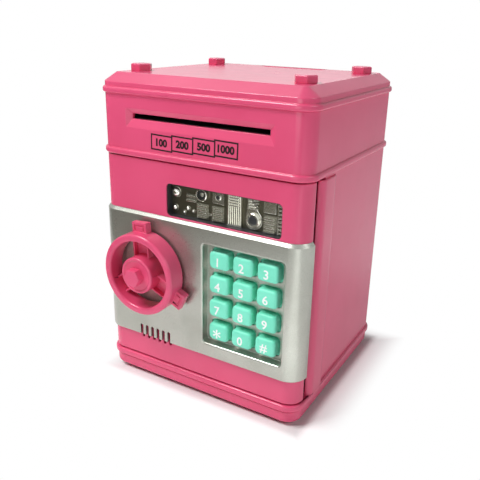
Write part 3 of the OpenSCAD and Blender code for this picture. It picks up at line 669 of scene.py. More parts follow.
class Surface(Graph):
    """A material's tree, with the textures that the finishes share."""

    def __init__(self, material: bpy.types.Material, constants: dict[str, Any]) -> None:
        """Start a material.

        Args:
            material: The material to fill.
            constants: Values of the shader's sockets that are the same all over.
        """
        material.use_nodes = True
        super().__init__(material.node_tree)
        self.shader = self.node("ShaderNodeBsdfPrincipled", {}, constants)
        self.node("ShaderNodeOutputMaterial", {}, {0: Sock(self, self.shader.outputs[0])})
        self.place = self.value("ShaderNodeTexCoord", {}, {}, "Object")

    def feed(self, socket: str, value: Sock) -> None:
        """Link a value to one of the shader's sockets."""
        self.tree.links.new(value.socket, pick(self.shader.inputs, socket))

    def stretched(self, x: float, y: float, z: float) -> Sock:
        """The place on the piece, with each axis scaled."""
        return self.value("ShaderNodeMapping", {}, {"Vector": self.place, "Scale": (x, y, z)})

    def noise(self, size: float, detail: float = 2.0, place: Sock | None = None) -> Sock:
        """Soft noise from 0 to 1 with patches of a size in millimetres."""
        sockets = {"Vector": place or self.place, "Scale": 1 / (size * MM), "Detail": detail}
        return self.value("ShaderNodeTexNoise", {}, sockets, 0)

    def cells(self, size: float) -> Sock:
        """A random number from 0 to 1 for each cell of a size in millimetres.

        Args:
            size: Size of a cell.

        Returns:
            The numbers.
        """
        sockets = {"Vector": self.place, "Scale": 1 / (size * MM)}
        colour = self.value("ShaderNodeTexVoronoi", {}, sockets, "Color")
        return self.value("ShaderNodeSeparateColor", {}, {0: colour})

    def blend(self, share: Any, first: Any, second: Any) -> Sock:
        """A colour between two colours."""
        sockets = {"Factor": share, "A": first, "B": second}
        return self.value("ShaderNodeMix", {"data_type": "RGBA"}, sockets)

    def bump(self, height: Sock, depth: float) -> None:
        """Raise the surface by a height from 0 to 1, to a depth in millimetres."""
        sockets = {"Height": height, "Distance": depth * MM, "Strength": 1.0}
        self.feed("Normal", self.value("ShaderNodeBump", {}, sockets))

    def depth(self, axis: str, low: float, high: float) -> Sock:
        """Smooth step along an axis of the piece, between two places in millimetres."""
        parts = self.node("ShaderNodeSeparateXYZ", {}, {0: self.place})
        return Sock(self, parts.outputs[axis]).ramp(low * MM, high * MM)


@dataclass(frozen=True)
class Finish(ABC):
    """What a surface is made of."""

    name: str

    def material(self) -> bpy.types.Material:
        """The finish's material, made the first time it is asked for.

        Returns:
            The material.
        """
        label = f"look_{self.name}"
        found = bpy.data.materials.get(label)
        if found is None:
            found = bpy.data.materials.new(label)
            self.paint(found)
        return found

    @abstractmethod
    def paint(self, material: bpy.types.Material) -> None:
        """Fill the material's tree."""


@dataclass(frozen=True)
class Moulded(Finish):
    """Moulded plastic or rubber, with flow marks, a fine grain and faint scuffs."""

    colour: Colour
    deep: Colour
    rough: float = 0.3
    grain: float = 0.35
    grain_depth: float = 0.004
    flow: float = 38.0
    scuffs: float = 0.128
    scuff_size: float = 9.0
    ripple_size: float = 7.0
    ripple: float = 6.0

    def paint(self, material: bpy.types.Material) -> None:
        """Fill the material's tree.

        Args:
            material: The material to fill.
        """
        tree = Surface(material, {"IOR": 1.5})
        flow = tree.noise(self.flow, 3.0)
        grain = tree.noise(self.grain, 2.0)
        smear = tree.noise(self.scuff_size, 4.0, tree.stretched(1.0, 1.0, 0.35))
        shade = flow.ramp(0.3, 0.7) * 0.7 + grain * 0.15
        tree.feed("Base Color", tree.blend(shade, self.colour, self.deep))
        tree.feed("Roughness", self.rough + (smear - 0.5) * self.scuffs)
        ripples = tree.noise(self.ripple_size, 1.0) * self.ripple
        tree.bump(grain * 0.6 + ripples, self.grain_depth)


@dataclass(frozen=True)
class SilverPaint(Finish):
    """Metallic paint on plastic: fine bright flakes in a grey coat."""

    colour: Colour
    deep: Colour
    metallic: float = 0.82
    rough: float = 0.31
    flake: float = 0.16
    cloud: float = 26.0
    orange_peel: float = 8.0
    depth: float = 0.004

    def paint(self, material: bpy.types.Material) -> None:
        """Fill the material's tree.

        Args:
            material: The material to fill.
        """
        tree = Surface(material, {"Metallic": self.metallic, "IOR": 1.5})
        flakes = tree.cells(self.flake)
        cloud = tree.noise(self.cloud, 3.0)
        shade = cloud.ramp(0.3, 0.72) * 0.45 + flakes * 0.5
        tree.feed("Base Color", tree.blend(shade, self.colour, self.deep))
        tree.feed("Roughness", self.rough + (flakes - 0.5) * 0.1 + (cloud - 0.5) * 0.1)
        fine, peel = tree.noise(0.5, 2.0), tree.noise(self.orange_peel, 1.0)
        tree.bump(flakes * 0.5 + fine * 0.5 + peel * 4, self.depth)


@dataclass(frozen=True)
class SilverWithPaintedShade(Finish):
    """Bright worn metal, darker the deeper it lies: the dark in its hollows is painted shade."""

    colour: Colour
    hollow_shade: Colour
    front_of: str
    proud: float = 1.5
    floor_in: float = 4.9
    top_in: float = 3.7
    patch: float = 1.6
    wear: float = 0.3

    def paint(self, material: bpy.types.Material) -> None:
        """Fill the material's tree.

        Args:
            material: The material to fill.
        """
        tree = Surface(material, {"Metallic": 0.95})
        patches = tree.noise(self.patch, 4.0)
        worn = tree.noise(self.wear, 2.0)
        front = span(self.front_of)[0].y + self.proud
        # painted shade: the colour darkens from the raised tops down to the plate's floor
        height = 1 - tree.depth("Y", front + self.top_in, front + self.floor_in)
        stains = patches.ramp(0.35, 0.7) * 0.08
        share = (height * 0.92 + stains + (worn - 0.5) * 0.04).ramp(0.0, 1.0)
        tree.feed("Base Color", tree.blend(share, self.hollow_shade, self.colour))
        tree.feed("Roughness", 0.3 - share * 0.14 + (worn - 0.5) * 0.1)
        tree.bump(patches * 0.7 + worn * 0.3, 0.008)


class Axis(Enum):
    """Direction in which a metal was drawn or brushed."""

    X = (0.04, 1.0, 1.0)
    Z = (1.0, 1.0, 0.04)


@dataclass(frozen=True)
class BareMetal(Finish):
    """Plated metal with drawing marks along one axis and a little tarnish."""

    colour: Colour
    tarnish: Colour
    along: Axis = Axis.X
    rough: float = 0.3
    mark: float = 0.22
    stain: float = 6.0

    def paint(self, material: bpy.types.Material) -> None:
        """Fill the material's tree.

        Args:
            material: The material to fill.
        """
        tree = Surface(material, {"Metallic": 1.0})
        marks = tree.noise(self.mark, 3.0, tree.stretched(*self.along.value))
        stain = tree.noise(self.stain, 4.0).ramp(0.45, 0.8)
        tree.feed("Base Color", tree.blend(stain * 0.6 + marks * 0.25, self.colour, self.tarnish))
        tree.feed("Roughness", self.rough + (marks - 0.5) * 0.2 + stain * 0.12)
        tree.bump(marks, 0.01)


@dataclass(frozen=True)
class Ink(Finish):
    """A printed mark, a little uneven in cover."""

    colour: Colour
    thin: Colour

    def paint(self, material: bpy.types.Material) -> None:
        """Fill the material's tree.

        Args:
            material: The material to fill.
        """
        tree = Surface(material, {"IOR": 1.45})
        cover = tree.noise(0.5, 3.0)
        tree.feed("Base Color", tree.blend(cover.ramp(0.5, 0.8) * 0.5, self.colour, self.thin))
        tree.feed("Roughness", 0.42 + cover * 0.12)
        tree.bump(cover, 0.006)


@dataclass(frozen=True)
class CellJacket(Finish):
    """A battery's printed sleeve: a copper-coloured end and a dark body."""

    colour: Colour
    band: Colour
    length: float = 50.5
    band_at: Point = (0.22, 0.24)

    def paint(self, material: bpy.types.Material) -> None:
        """Fill the material's tree.

        Args:
            material: The material to fill.
        """
        tree = Surface(material, {"IOR": 1.5})
        share = tree.depth("X", *(self.length * part for part in self.band_at))
        fine = tree.noise(0.6, 3.0)
        tree.feed("Base Color", tree.blend(share, self.colour, self.band))
        tree.feed("Metallic", 0.2 + share * 0.6)
        tree.feed("Roughness", 0.28 + fine * 0.1)
        tree.bump(fine, 0.004)


@dataclass(frozen=True)
class CircuitBoard(Finish):
    """Lacquered board with copper tracks under the lacquer."""

    colour: Colour
    track: Colour
    pitch: float = 3.2

    def paint(self, material: bpy.types.Material) -> None:
        """Fill the material's tree.

        Args:
            material: The material to fill.
        """
        tree = Surface(material, {"IOR": 1.5, "Coat Roughness": 0.15})
        sockets = {"Vector": tree.place, "Scale": 1 / (self.pitch * MM), "Randomness": 0.35}
        settings = {"feature": "DISTANCE_TO_EDGE", "distance": "EUCLIDEAN"}
        edge = tree.value("ShaderNodeTexVoronoi", settings, sockets)
        tracks = 1 - edge.ramp(0.05, 0.09)
        cloth = tree.noise(0.4, 2.0)
        tree.feed("Base Color", tree.blend(tracks * 0.7 + cloth * 0.1, self.colour, self.track))
        tree.feed("Roughness", 0.32 + cloth * 0.12)
        tree.bump(tracks * 0.7 + cloth * 0.3, 0.03)


PINK = Moulded("pink_plastic", linear(227, 82, 124), linear(220, 75, 116), rough=0.24)
PINK_INSIDE = Moulded(
    "pink_inside", linear(217, 74, 114), linear(203, 60, 99), rough=0.42, grain_depth=0.01
)
SILVER = SilverPaint("silver_paint", linear(190, 192, 184), linear(160, 162, 152))
KEY_TEAL = Moulded(
    "teal_key", linear(128, 238, 208), linear(114, 228, 196), rough=0.42, flow=14.0
)
DARK = Moulded(
    "dark_plastic", linear(46, 47, 51), linear(34, 35, 38), rough=0.45, grain_depth=0.012
)
RUBBER = Moulded(
    "black_rubber", linear(34, 33, 34), linear(24, 24, 25), rough=0.7, grain_depth=0.02
)
NYLON = Moulded(
    "white_nylon", linear(228, 224, 210), linear(214, 208, 190), rough=0.4, flow=9.0
)
STEEL = BareMetal("zinc_steel", linear(198, 199, 202), linear(150, 148, 142))
STEEL_UP = BareMetal("drawn_steel", linear(190, 191, 195), linear(146, 144, 140), Axis.Z)
WHITE_PRINT = Ink("white_print", linear(250, 252, 250), linear(206, 238, 226))
LABEL_INK = Ink("maroon_ink", linear(22, 2, 10), linear(44, 6, 22))
JACKET = CellJacket("cell_jacket", linear(40, 40, 44), linear(186, 120, 62))
# the relief's silver, with painted shade in its hollows
RELIEF = SilverWithPaintedShade(
    "antique_silver", linear(250, 250, 240), linear(112, 110, 94), "fascia"
)
BOARD = CircuitBoard("circuit_board", linear(24, 84, 48), linear(70, 132, 70))


# ---------------------------------------------------------------- pieces


@dataclass(frozen=True)
class Levels:
    """Faces and levels that the sub-assemblies share, read from the frame."""

    side_x: float
    front_y: float
    back_y: float
    foot_z: float
    base_z: float
    door_z: float
    door_top_z: float
    door_back_y: float
    wall_y: float
    head_z: float
    roof_z: float
    roof_top_z: float
    corner_r: float = 9.0
    wall: float = 2.2
    belt_out: float = 1.3
    boss_r: float = 3.2
    pin_r: float = 1.5

    @classmethod
    def read(cls) -> Levels:
        """Measure the frame.

        Returns:
            The faces and levels.
        """
        door_low, door_high = span("door_shell")
        head_low, head_high = span("head_shell")
        case_low, case_high = span("cabinet_shell")
        roof_high = span("roof")[1]
        gap_z = head_low.z - door_high.z
        keeper_y = span("latch_keeper")[0].y
        return cls(
            side_x=door_high.x, front_y=door_low.y, back_y=case_high.y - cls.belt_out,
            foot_z=case_low.z, base_z=door_low.z - gap_z, door_z=door_low.z,
            door_top_z=door_high.z, door_back_y=door_high.y, wall_y=keeper_y,
            head_z=head_low.z, roof_z=head_high.z, roof_top_z=roof_high.z,
        )

    @property
    def mid_y(self) -> float:
        """Middle of the cabinet from front to back."""
        return (self.front_y + self.back_y) / 2

    @property
    def hinge(self) -> Point:
        """Axis of the hinge, seen from above."""
        return middle_of("hinge_pins")[:2]

    @property
    def inner_x(self) -> float:
        """Inner face of the side walls."""
        return self.side_x - self.wall

    @property
    def front_view(self) -> Matrix:
        """Matrix from the door's own view to the frame."""
        rows = ((1, 0, 0, 0), (0, 0, -1, self.front_y), (0, 1, 0, 0), (0, 0, 0, 1))
        return Matrix(rows)

    def outline(self, out: float) -> list[Point]:
        """The cabinet's outline, grown outwards by a distance.

        Args:
            out: The distance.

        Returns:
            The outline, anticlockwise.
        """
        w = 2 * (self.side_x + out)
        d = self.back_y - self.front_y + 2 * out
        return round_rect(w, d, self.corner_r + out, (0, self.mid_y), 10)

    def around(self, solid: Solid, profile: Sequence[Point], tube: bool = False) -> Solid:
        """Add a profile carried round the cabinet, each point as distance out and level."""
        rings = [[(x, y, z) for x, y in self.outline(out)] for out, z in profile]
        return solid.loft(rings, tube)

    def column(self, out: float, low: float, high: float) -> Solid:
        """The cabinet's outline as a solid between two levels."""
        return Solid().prism(self.outline(out), low, high)

    def belt(self, low: float, height: float) -> list[Point]:
        """Profile of a rounded belt from a level upwards, lower edge first.

        Args:
            low: Level of the belt's lower edge.
            height: Height of the belt.

        Returns:
            Distance out and level of each point.
        """
        r = min(self.belt_out, height / 2) - 0.05
        start, end = self.belt_out - r, height - r
        return [
            (0.0, low), *arc((start, low + r), r, -90, 0, 8),
            *arc((start, low + end), r, 0, 90, 8), (0.0, low + height),
        ]


def add_piece(name: str, solid: Solid, finish: Finish, body: str,
              replaces: Sequence[str] = ()) -> bpy.types.Object:
    """Make a finished piece of a solid.

    Args:
        name: Name of the piece.
        solid: Its shape, in millimetres.
        finish: Its finish.
        body: The body that it rides on.
        replaces: Nodes of the frame that it stands for.

    Returns:
        The piece.
    """
    mesh = in_metres(solid)
    mesh.name = name
    mesh.materials.clear()
    mesh.materials.append(finish.material())
    mesh.polygons.foreach_set("material_index", [0] * len(mesh.polygons))
    piece = in_scene(name, mesh)
    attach(piece, body)
    if replaces:
        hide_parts(*replaces)
    LOG.info("%s: %d faces on %s", name, len(mesh.polygons), body)
    return piece


def lettering(text: str, height: float, thick: float, heavy: float = 0.0) -> Solid:
    """Plain figures as a thin solid about the origin, standing up from z = 0.

    Args:
        text: The figures.
        height: Height of a line of type.
        thick: Thickness of the solid.
        heavy: How far the strokes are thickened.

    Returns:
        The solid.
    """
    curve = bpy.data.curves.new("figures", "FONT")
    curve.body = text
    curve.size = height
    curve.extrude = thick / 2
    curve.offset = heavy
    curve.resolution_u = 4
    solid = Solid(settled(in_scene("figures", curve)))
    bmesh.ops.remove_doubles(solid.bm, verts=solid.bm.verts, dist=0.001)
    xs = [v.co.x for v in solid.bm.verts]
    ys = [v.co.y for v in solid.bm.verts]
    return solid.shifted(-(min(xs) + max(xs)) / 2, -(min(ys) + max(ys)) / 2, thick / 2)


@dataclass
class Trees:
    """The Geometry Nodes trees, each built once."""

    grid: GeometryGraph
    ring: GeometryGraph
    coil: GeometryGraph

    @classmethod
    def build(cls) -> Trees:
        """All three trees."""
        return cls(grid_graph(), ring_graph(), coil_graph())

    def lined_up(self, shape: Solid, finish: Finish, count: int, step: float, middle: Point,
                 upright: bool = False) -> Solid:
        """Copies of a shape in a row or a column.

        Args:
            shape: The shape, about the origin.
            finish: The finish of the copies.
            count: How many.
            step: Distance between them.
            middle: Middle of the row.
            upright: Whether the row runs along y and not x.

        Returns:
            The copies.
        """
        return self.grid.grow(shape, finish, {
            "Columns": 1 if upright else count, "Rows": count if upright else 1,
            "Step X": step, "Step Y": step, "Middle": (*middle, 0.0),
        })

    def cornered(self, shape: Solid, finish: Finish, node: str, radius: float,
                 flip: bool = False) -> Solid:
        """Copies of a shape where a node holds four round things.

        Args:
            shape: The shape, about the origin.
            finish: The finish of the copies.
            node: The node that holds the four.
            radius: Radius of each of them.
            flip: Whether they stand on the door, in its own view.

        Returns:
            The copies.
        """
        low, high = span(node)
        size, middle = high - low, (low + high) / 2
        deep, centre = (size.z, middle.z) if flip else (size.y, middle.y)
        return self.grid.grow(shape, finish, {
            "Columns": 2, "Rows": 2, "Step X": size.x - 2 * radius,
            "Step Y": deep - 2 * radius, "Middle": (middle.x, centre, 0),
        })


@dataclass
class Assembly(ABC):
    """A sub-assembly of the bank."""

    levels: Levels
    trees: Trees

    @abstractmethod
    def build(self) -> None:
        """Make and dress its pieces."""


@dataclass
class Cabinet(Assembly):
    """The lower case: base, belt, walls and the bands at the front edges of the walls."""

    base_r: float = 3.0
    belt_h: float = 4.1
    groove: float = 0.5
    sill_reach: float = 17.5
    band_d: float = 20.0
    band_ramp: float = 5.0
    band_drop: float = 1.3
    band_round: float = 5.5
    band_ease: float = 0.9
    floor_t: float = 2.2
    hinge_in: float = 4.0
    hinge_back: float = 8.6
    boss_l: float = 8.0
    bay_wall: Point = (2.0, 1.4)
    bay_h: float = 9.0
    hatch_t: float = 1.2
    ear_w: float = 6.4
    ear_l: float = 9.0
    ease: float = 0.25

    def base(self) -> Solid:
        """The tray-shaped base with its belt.

        Returns:
            The base.
        """
        lv = self.levels
        belt_z = lv.base_z - self.belt_h
        floor_z = lv.foot_z + self.floor_t
        profile = [
            *arc((-self.base_r, lv.foot_z + self.base_r), self.base_r, -90, 0, 6),
            (0, belt_z - self.groove - 0.2), (-self.groove, belt_z - self.groove),
            (-self.groove, belt_z), *lv.belt(belt_z, self.belt_h)[1:-1],
            (-lv.wall, lv.base_z), (-lv.wall, floor_z),
        ]
        return lv.around(Solid(), profile)

    def sill(self) -> Solid:
        """The flat ledge that the door closes over.

        Returns:
            The ledge.
        """
        lv = self.levels
        plate = lv.column(-1, lv.base_z - lv.wall, lv.base_z - 0.02)
        far = Solid().block((-FAR, lv.front_y + self.sill_reach, 0), (FAR, FAR, FAR))
        return plate.cut(far)

    def walls(self) -> Solid:
        """Side and back walls, open to the front.

        Returns:
            The walls.
        """
        lv = self.levels
        low, high = lv.base_z - 1, lv.head_z
        tube = lv.column(0, low, high).cut(lv.column(-lv.wall, low - 1, high + 1))
        front = lv.wall_y + self.band_round
        return tube.cut(Solid().block((-FAR, -FAR, low - 2), (FAR, front, high + 2)))

    def band(self, side: int) -> Solid:
        """The raised band along the front edge of one wall.

        Args:
            side: 1 on the right, -1 on the left.

        Returns:
            The band, its outer edges rounded.
        """
        lv = self.levels
        out = lv.side_x + lv.belt_out
        start, end = lv.wall_y, lv.wall_y + self.band_d
        wide = out - lv.inner_x - 0.4
        nose = [
            (out - wide + wide * x, start + self.band_round * (1 + y))
            for x, y in arc((0, 0), 1, -90, 0, 8)
        ]
        outline = [
            (lv.inner_x, start), *nose, (out, end - self.band_ramp),
            (out - 0.35, end - self.band_ramp * 0.6),
            (lv.side_x + 0.3, end - self.band_ramp * 0.3),
            (lv.side_x - 0.05, end), (lv.inner_x, end),
        ]
        top = lv.head_z - self.band_drop
        band = Solid().prism(outline, lv.base_z - 1.5, top).eased(self.band_ease, 5)
        if side < 0:
            band.moved(Matrix.Scale(-1, 4, (1, 0, 0)))
            bmesh.ops.reverse_faces(band.bm, faces=band.bm.faces)
        return band

    def build(self) -> None:
        """Make and dress the case."""
        lv = self.levels
        hinge = (lv.side_x - self.hinge_in, lv.front_y + self.hinge_back)
        boss = Solid().peg(hinge, lv.boss_r, lv.base_z - self.boss_l, lv.base_z - 0.01)
        pin = Solid().peg(hinge, lv.pin_r, lv.base_z - self.boss_l + 1, lv.base_z + 1)
        low, high = span("battery_cover")
        box_low, box_high = span("battery_box")
        side, end = self.bay_wall
        hatch_z = lv.foot_z + self.hatch_t
        hatch = Solid().block((low.x, low.y, 0), (box_high.x - end, high.y, hatch_z))
        bay = Solid().block((box_low.x + side, box_low.y + end, 0),
                            (box_high.x - side, box_high.y - end, self.bay_h))
        ear_r = self.ear_w / 2
        ear_x = high.x - 3
        ear = Solid().block(
            (high.x - self.ear_l, lv.mid_y - ear_r, 0), (ear_x, lv.mid_y + ear_r, hatch_z)
        )
        tip = Solid().peg((ear_x, lv.mid_y), ear_r, 0, hatch_z)
        case = self.base().joined(self.sill(), self.walls(), self.band(1), self.band(-1), boss)
        case = case.cut(pin, bay, hatch, ear, tip).eased(self.ease)
        add_piece("cabinet_case", case, PINK, "cabinet", ["cabinet_shell"])


@dataclass
class Head(Assembly):
    """The upper case with the bill slot and the row of value boxes."""

    belt_h: float = 3.6
    slot_w: float = 85.0
    slot_h: float = 2.9
    slot_up: float = 21.95
    mouth_w: float = 92.0
    mouth_h: float = 10.4
    mouth_drop: float = 0.85
    mouth_depth: float = 1.9
    flare: float = 0.3
    lip: tuple[float, float, float] = (46.0, 5.5, 5.0)
    lip_t: float = 1.6
    throat_in: float = 9.0
    drop: tuple[float, float, float] = (45.5, 43.0, 26.0)
    chute_gap: float = 1.8
    ease: float = 0.28
    box_w: float = 14.3
    box_h: float = 8.7
    box_step: float = 13.5
    box_x: float = -1.45
    box_up: float = 10.4
    box_line: float = 0.78
    box_rise: float = 0.45
    box_tilt: float = -1.4
    heavy: float = 0.26
    figure_h: float = 5.4
    print_t: float = 0.06
    box_lift: float = 0.004
    figures: tuple[str, ...] = ("100", "200", "500", "1000")

    def shell(self) -> Solid:
        """The case with its slot, openings and hinge boss.

        Returns:
            The case.
        """
        lv = self.levels
        deck_z = lv.head_z + lv.wall
        profile = [
            (-lv.wall - 1, lv.head_z), *lv.belt(lv.head_z, self.belt_h)[1:],
            (0, lv.roof_z), (-lv.wall, lv.roof_z), (-lv.wall, deck_z),
        ]
        slot_z = lv.head_z + self.slot_up
        half, below, above = self.lip
        lips = Solid().block((-half, slot_z - below, -lv.wall - self.lip_t),
                             (half, slot_z + above, -1)).moved(lv.front_view)
        top = span("hinge_pins")[1].z
        boss = Solid().peg(lv.hinge, lv.boss_r, lv.head_z + 0.5, top + 1)
        pin = Solid().peg(lv.hinge, lv.pin_r, lv.head_z - 1, top)
        half, near, far = self.drop
        drop = Solid().block((-half, lv.front_y + near, lv.head_z - 1),
                             (half, lv.back_y - far, deck_z + 1))
        low, high = span("coin_chute")
        gap = self.chute_gap
        chute = Solid().block((low.x - gap, low.y - gap, lv.head_z - 1),
                              (high.x + gap, high.y + gap, deck_z + 1))
        shell = lv.around(Solid(), profile).joined(lips, boss)
        return shell.cut(*self.slot(slot_z), pin, drop, chute).eased(self.ease, over=15)

    def slot(self, level: float) -> list[Solid]:
        """Cutters for the bill slot: its flared mouth and its throat.

        Args:
            level: Height of the slot's middle.

        Returns:
            The two cutters.
        """
        mouth = rect(-self.mouth_w / 2, self.mouth_w / 2, -self.mouth_h / 2, self.mouth_h / 2)
        throat = rect(-self.slot_w / 2, self.slot_w / 2, -self.slot_h / 2, self.slot_h / 2)
        reach = 1 + self.flare / self.mouth_depth
        wide = [
            (x0 + (x1 - x0) * reach, y0 + (y1 - self.mouth_drop - y0) * reach)
            for (x0, y0), (x1, y1) in zip(throat, mouth)
        ]
        recess = Solid().stack([(throat, -self.mouth_depth), (wide, self.flare)])
        view = self.levels.front_view @ Matrix.Translation((0, level, 0))
        return [recess.moved(view), Solid().prism(throat, -self.throat_in, 5).moved(view)]

    def labels(self) -> Solid:
        """Four outlined boxes with plain numbers, printed under the slot.

        Returns:
            The print.
        """
        printed, line = Solid(), self.box_line
        tilt = Matrix.Rotation(math.radians(self.box_tilt), 4, "Z")
        w, h = self.box_w / 2, self.box_h / 2
        outer, inner = rect(-w, w, -h, h), rect(line - w, w - line, line - h, h - line)
        for i, figures in enumerate(self.figures):
            x = self.box_x + (i - 1.5) * self.box_step
            z = self.levels.head_z + self.box_up + (i - 1.5) * self.box_rise
            lift = self.print_t + self.box_lift * i
            rings = [(outer, 0), (outer, lift), (inner, lift), (inner, 0)]
            box = Solid().loft([[(a, b, c) for a, b in ring] for ring, c in rings], tube=True)
            box.holding(lettering(figures, self.figure_h, self.print_t, self.heavy))
            printed.holding(box.moved(Matrix.Translation((x, z, 0)) @ tilt))
        return printed.moved(self.levels.front_view)

    def build(self) -> None:
        """Make and dress the case and its print."""
        add_piece("head_case", self.shell(), PINK, "cabinet", ["head_shell"])
        add_piece("value_boxes", self.labels(), LABEL_INK, "cabinet")


@dataclass
class Roof(Assembly):
    """The roof with its belt, slope, coin slot and four big bolts."""

    belt_h: float = 3.5
    slope_h: float = 4.8
    slope_in: float = 7.0
    edge_r: float = 0.7
    lip_l: float = 4.0
    bolt_r: float = 6.2
    peg_r: float = 2.0
    boss_r: float = 4.0
    boss_l: float = 6.0
    lip_out: float = 2.35
    lip_in: float = 3.8
    rim_out: float = 1.9
    collar: Point = (20.1, 5.1)
    collar_h: float = 3.0
    hollow: Point = (18.85, 3.85)
    bolt_ease: float = 0.5
    ease: float = 0.25
    coin_w: float = 32.0
    coin_d: float = 3.0
    coin_in: float = 12.0
    coin_margin: Point = (8.0, 3.5)
    coin_recess: float = 1.2

    def cover(self) -> Solid:
        """The roof itself.

        Returns:
            The roof.
        """
        lv = self.levels
        edge_z = lv.roof_top_z - self.slope_h
        tilt = math.degrees(math.atan2(self.slope_h, self.slope_in))
        profile = [
            *lv.belt(lv.roof_z, self.belt_h)[1:],
            (0, edge_z - self.edge_r),
            *arc((-self.edge_r, edge_z - self.edge_r * 0.6), self.edge_r, 0, 90 - tilt, 6),
            (-self.slope_in + 0.5, lv.roof_top_z - 0.3), (-self.slope_in, lv.roof_top_z - 0.04),
            (-self.slope_in - 0.6, lv.roof_top_z),
        ]
        inner_z = lv.roof_top_z - lv.wall
        inside = [
            (-lv.wall, lv.roof_z), (-lv.wall, edge_z - 1.1), (-self.slope_in - 1.2, inner_z),
        ]
        cover = lv.around(Solid(), [*reversed(inside), *profile])
        boss = Solid().peg((0, 0), self.boss_r, inner_z - self.boss_l, lv.roof_top_z - 1)
        bosses = self.trees.cornered(boss, PINK, "roof_bolts", self.bolt_r)
        y = lv.back_y - self.coin_in
        half_w, half_d = self.collar
        collar = Solid().block((-half_w, y - half_d, inner_z - self.collar_h),
                               (half_w, y + half_d, lv.roof_top_z - 1))
        half_w, half_d = self.hollow
        hollow = Solid().block((-half_w, y - half_d, 0), (half_w, y + half_d, inner_z))
        cover = cover.joined(self.rim(), bosses, collar)
        return cover.cut(hollow, *self.coin_slot(y)).eased(self.ease, over=15)

    def rim(self) -> Solid:
        """The lip that drops into the head.

        Returns:
            The lip.
        """
        low, seat, top = self.levels.roof_z - self.lip_l, self.levels.roof_z, 2
        return self.levels.around(Solid(), [
            (-self.lip_in, low), (-self.lip_out, low), (-self.lip_out, seat - 0.05),
            (-self.rim_out, seat + 0.3), (-self.rim_out, seat + top), (-self.lip_in, seat + top),
        ], tube=True)

    def coin_slot(self, y: float) -> list[Solid]:
        """Cutters for the coin slot: its dished mouth and its throat.

        Args:
            y: Place of the slot's middle.

        Returns:
            The two cutters.
        """
        w, d, top = self.coin_w / 2, self.coin_d / 2, self.levels.roof_top_z
        side, end = self.coin_margin
        throat = rect(-w, w, y - d, y + d)
        mouth = rect(-w - side, w + side, y - d - end, y + d + end)
        recess = Solid().stack([(throat, top - self.coin_recess), (mouth, top + 0.01)])
        return [recess, Solid().prism(throat, self.levels.roof_z, top + 1)]

    def bolts(self) -> Solid:
        """Four hexagonal bolt heads with chamfered tops, each on its peg.

        Returns:
            The bolts.
        """
        low, high = span("roof_bolts")
        base, top = self.levels.roof_top_z, high.z
        bolt = Solid().stack([
            (hexagon(self.bolt_r), base), (hexagon(self.bolt_r), top - self.bolt_ease),
            (hexagon(self.bolt_r - self.bolt_ease), top),
        ]).eased(0.22)
        peg = Solid().peg((0, 0), self.peg_r, low.z, base + 0.5)
        return self.trees.cornered(bolt.joined(peg), PINK, "roof_bolts", self.bolt_r)

    def build(self) -> None:
        """Make and dress the roof and its bolts."""
        add_piece("roof_cover", self.cover(), PINK, "cabinet", ["roof"])
        add_piece("roof_bolt_heads", self.bolts(), PINK, "cabinet", ["roof_bolts"])


@dataclass
class Window:
    """The window in the door, in the door's own view."""

    x: float
    y: float
    w: float = 71.0
    h: float = 18.5
    r: float = 2.5

    def shape(self, grow: float) -> list[Point]:
        """The window's outline, grown by a distance."""
        middle = (self.x + self.w / 2, self.y + self.h / 2)
        return round_rect(self.w + 2 * grow, self.h + 2 * grow, self.r + grow, middle)


@dataclass
class Tray:
    """The keypad's tray in the fascia, in the door's own view."""

    x: float
    y: float
    w: float = 49.9
    h: float = 59.6
    r: float = 2.0
    depth: float = 4.0
    t: float = 1.2
    rim: float = 1.3
    key_w: float = 12.4
    key_h: float = 10.0
    key_gap: float = 0.75
    key_step: Point = (14.85, 14.4)

    def shape(self, grow: float) -> list[Point]:
        """The tray's outline, grown by a distance."""
        return round_rect(self.w + 2 * grow, self.h + 2 * grow, self.r + grow, (self.x, self.y))


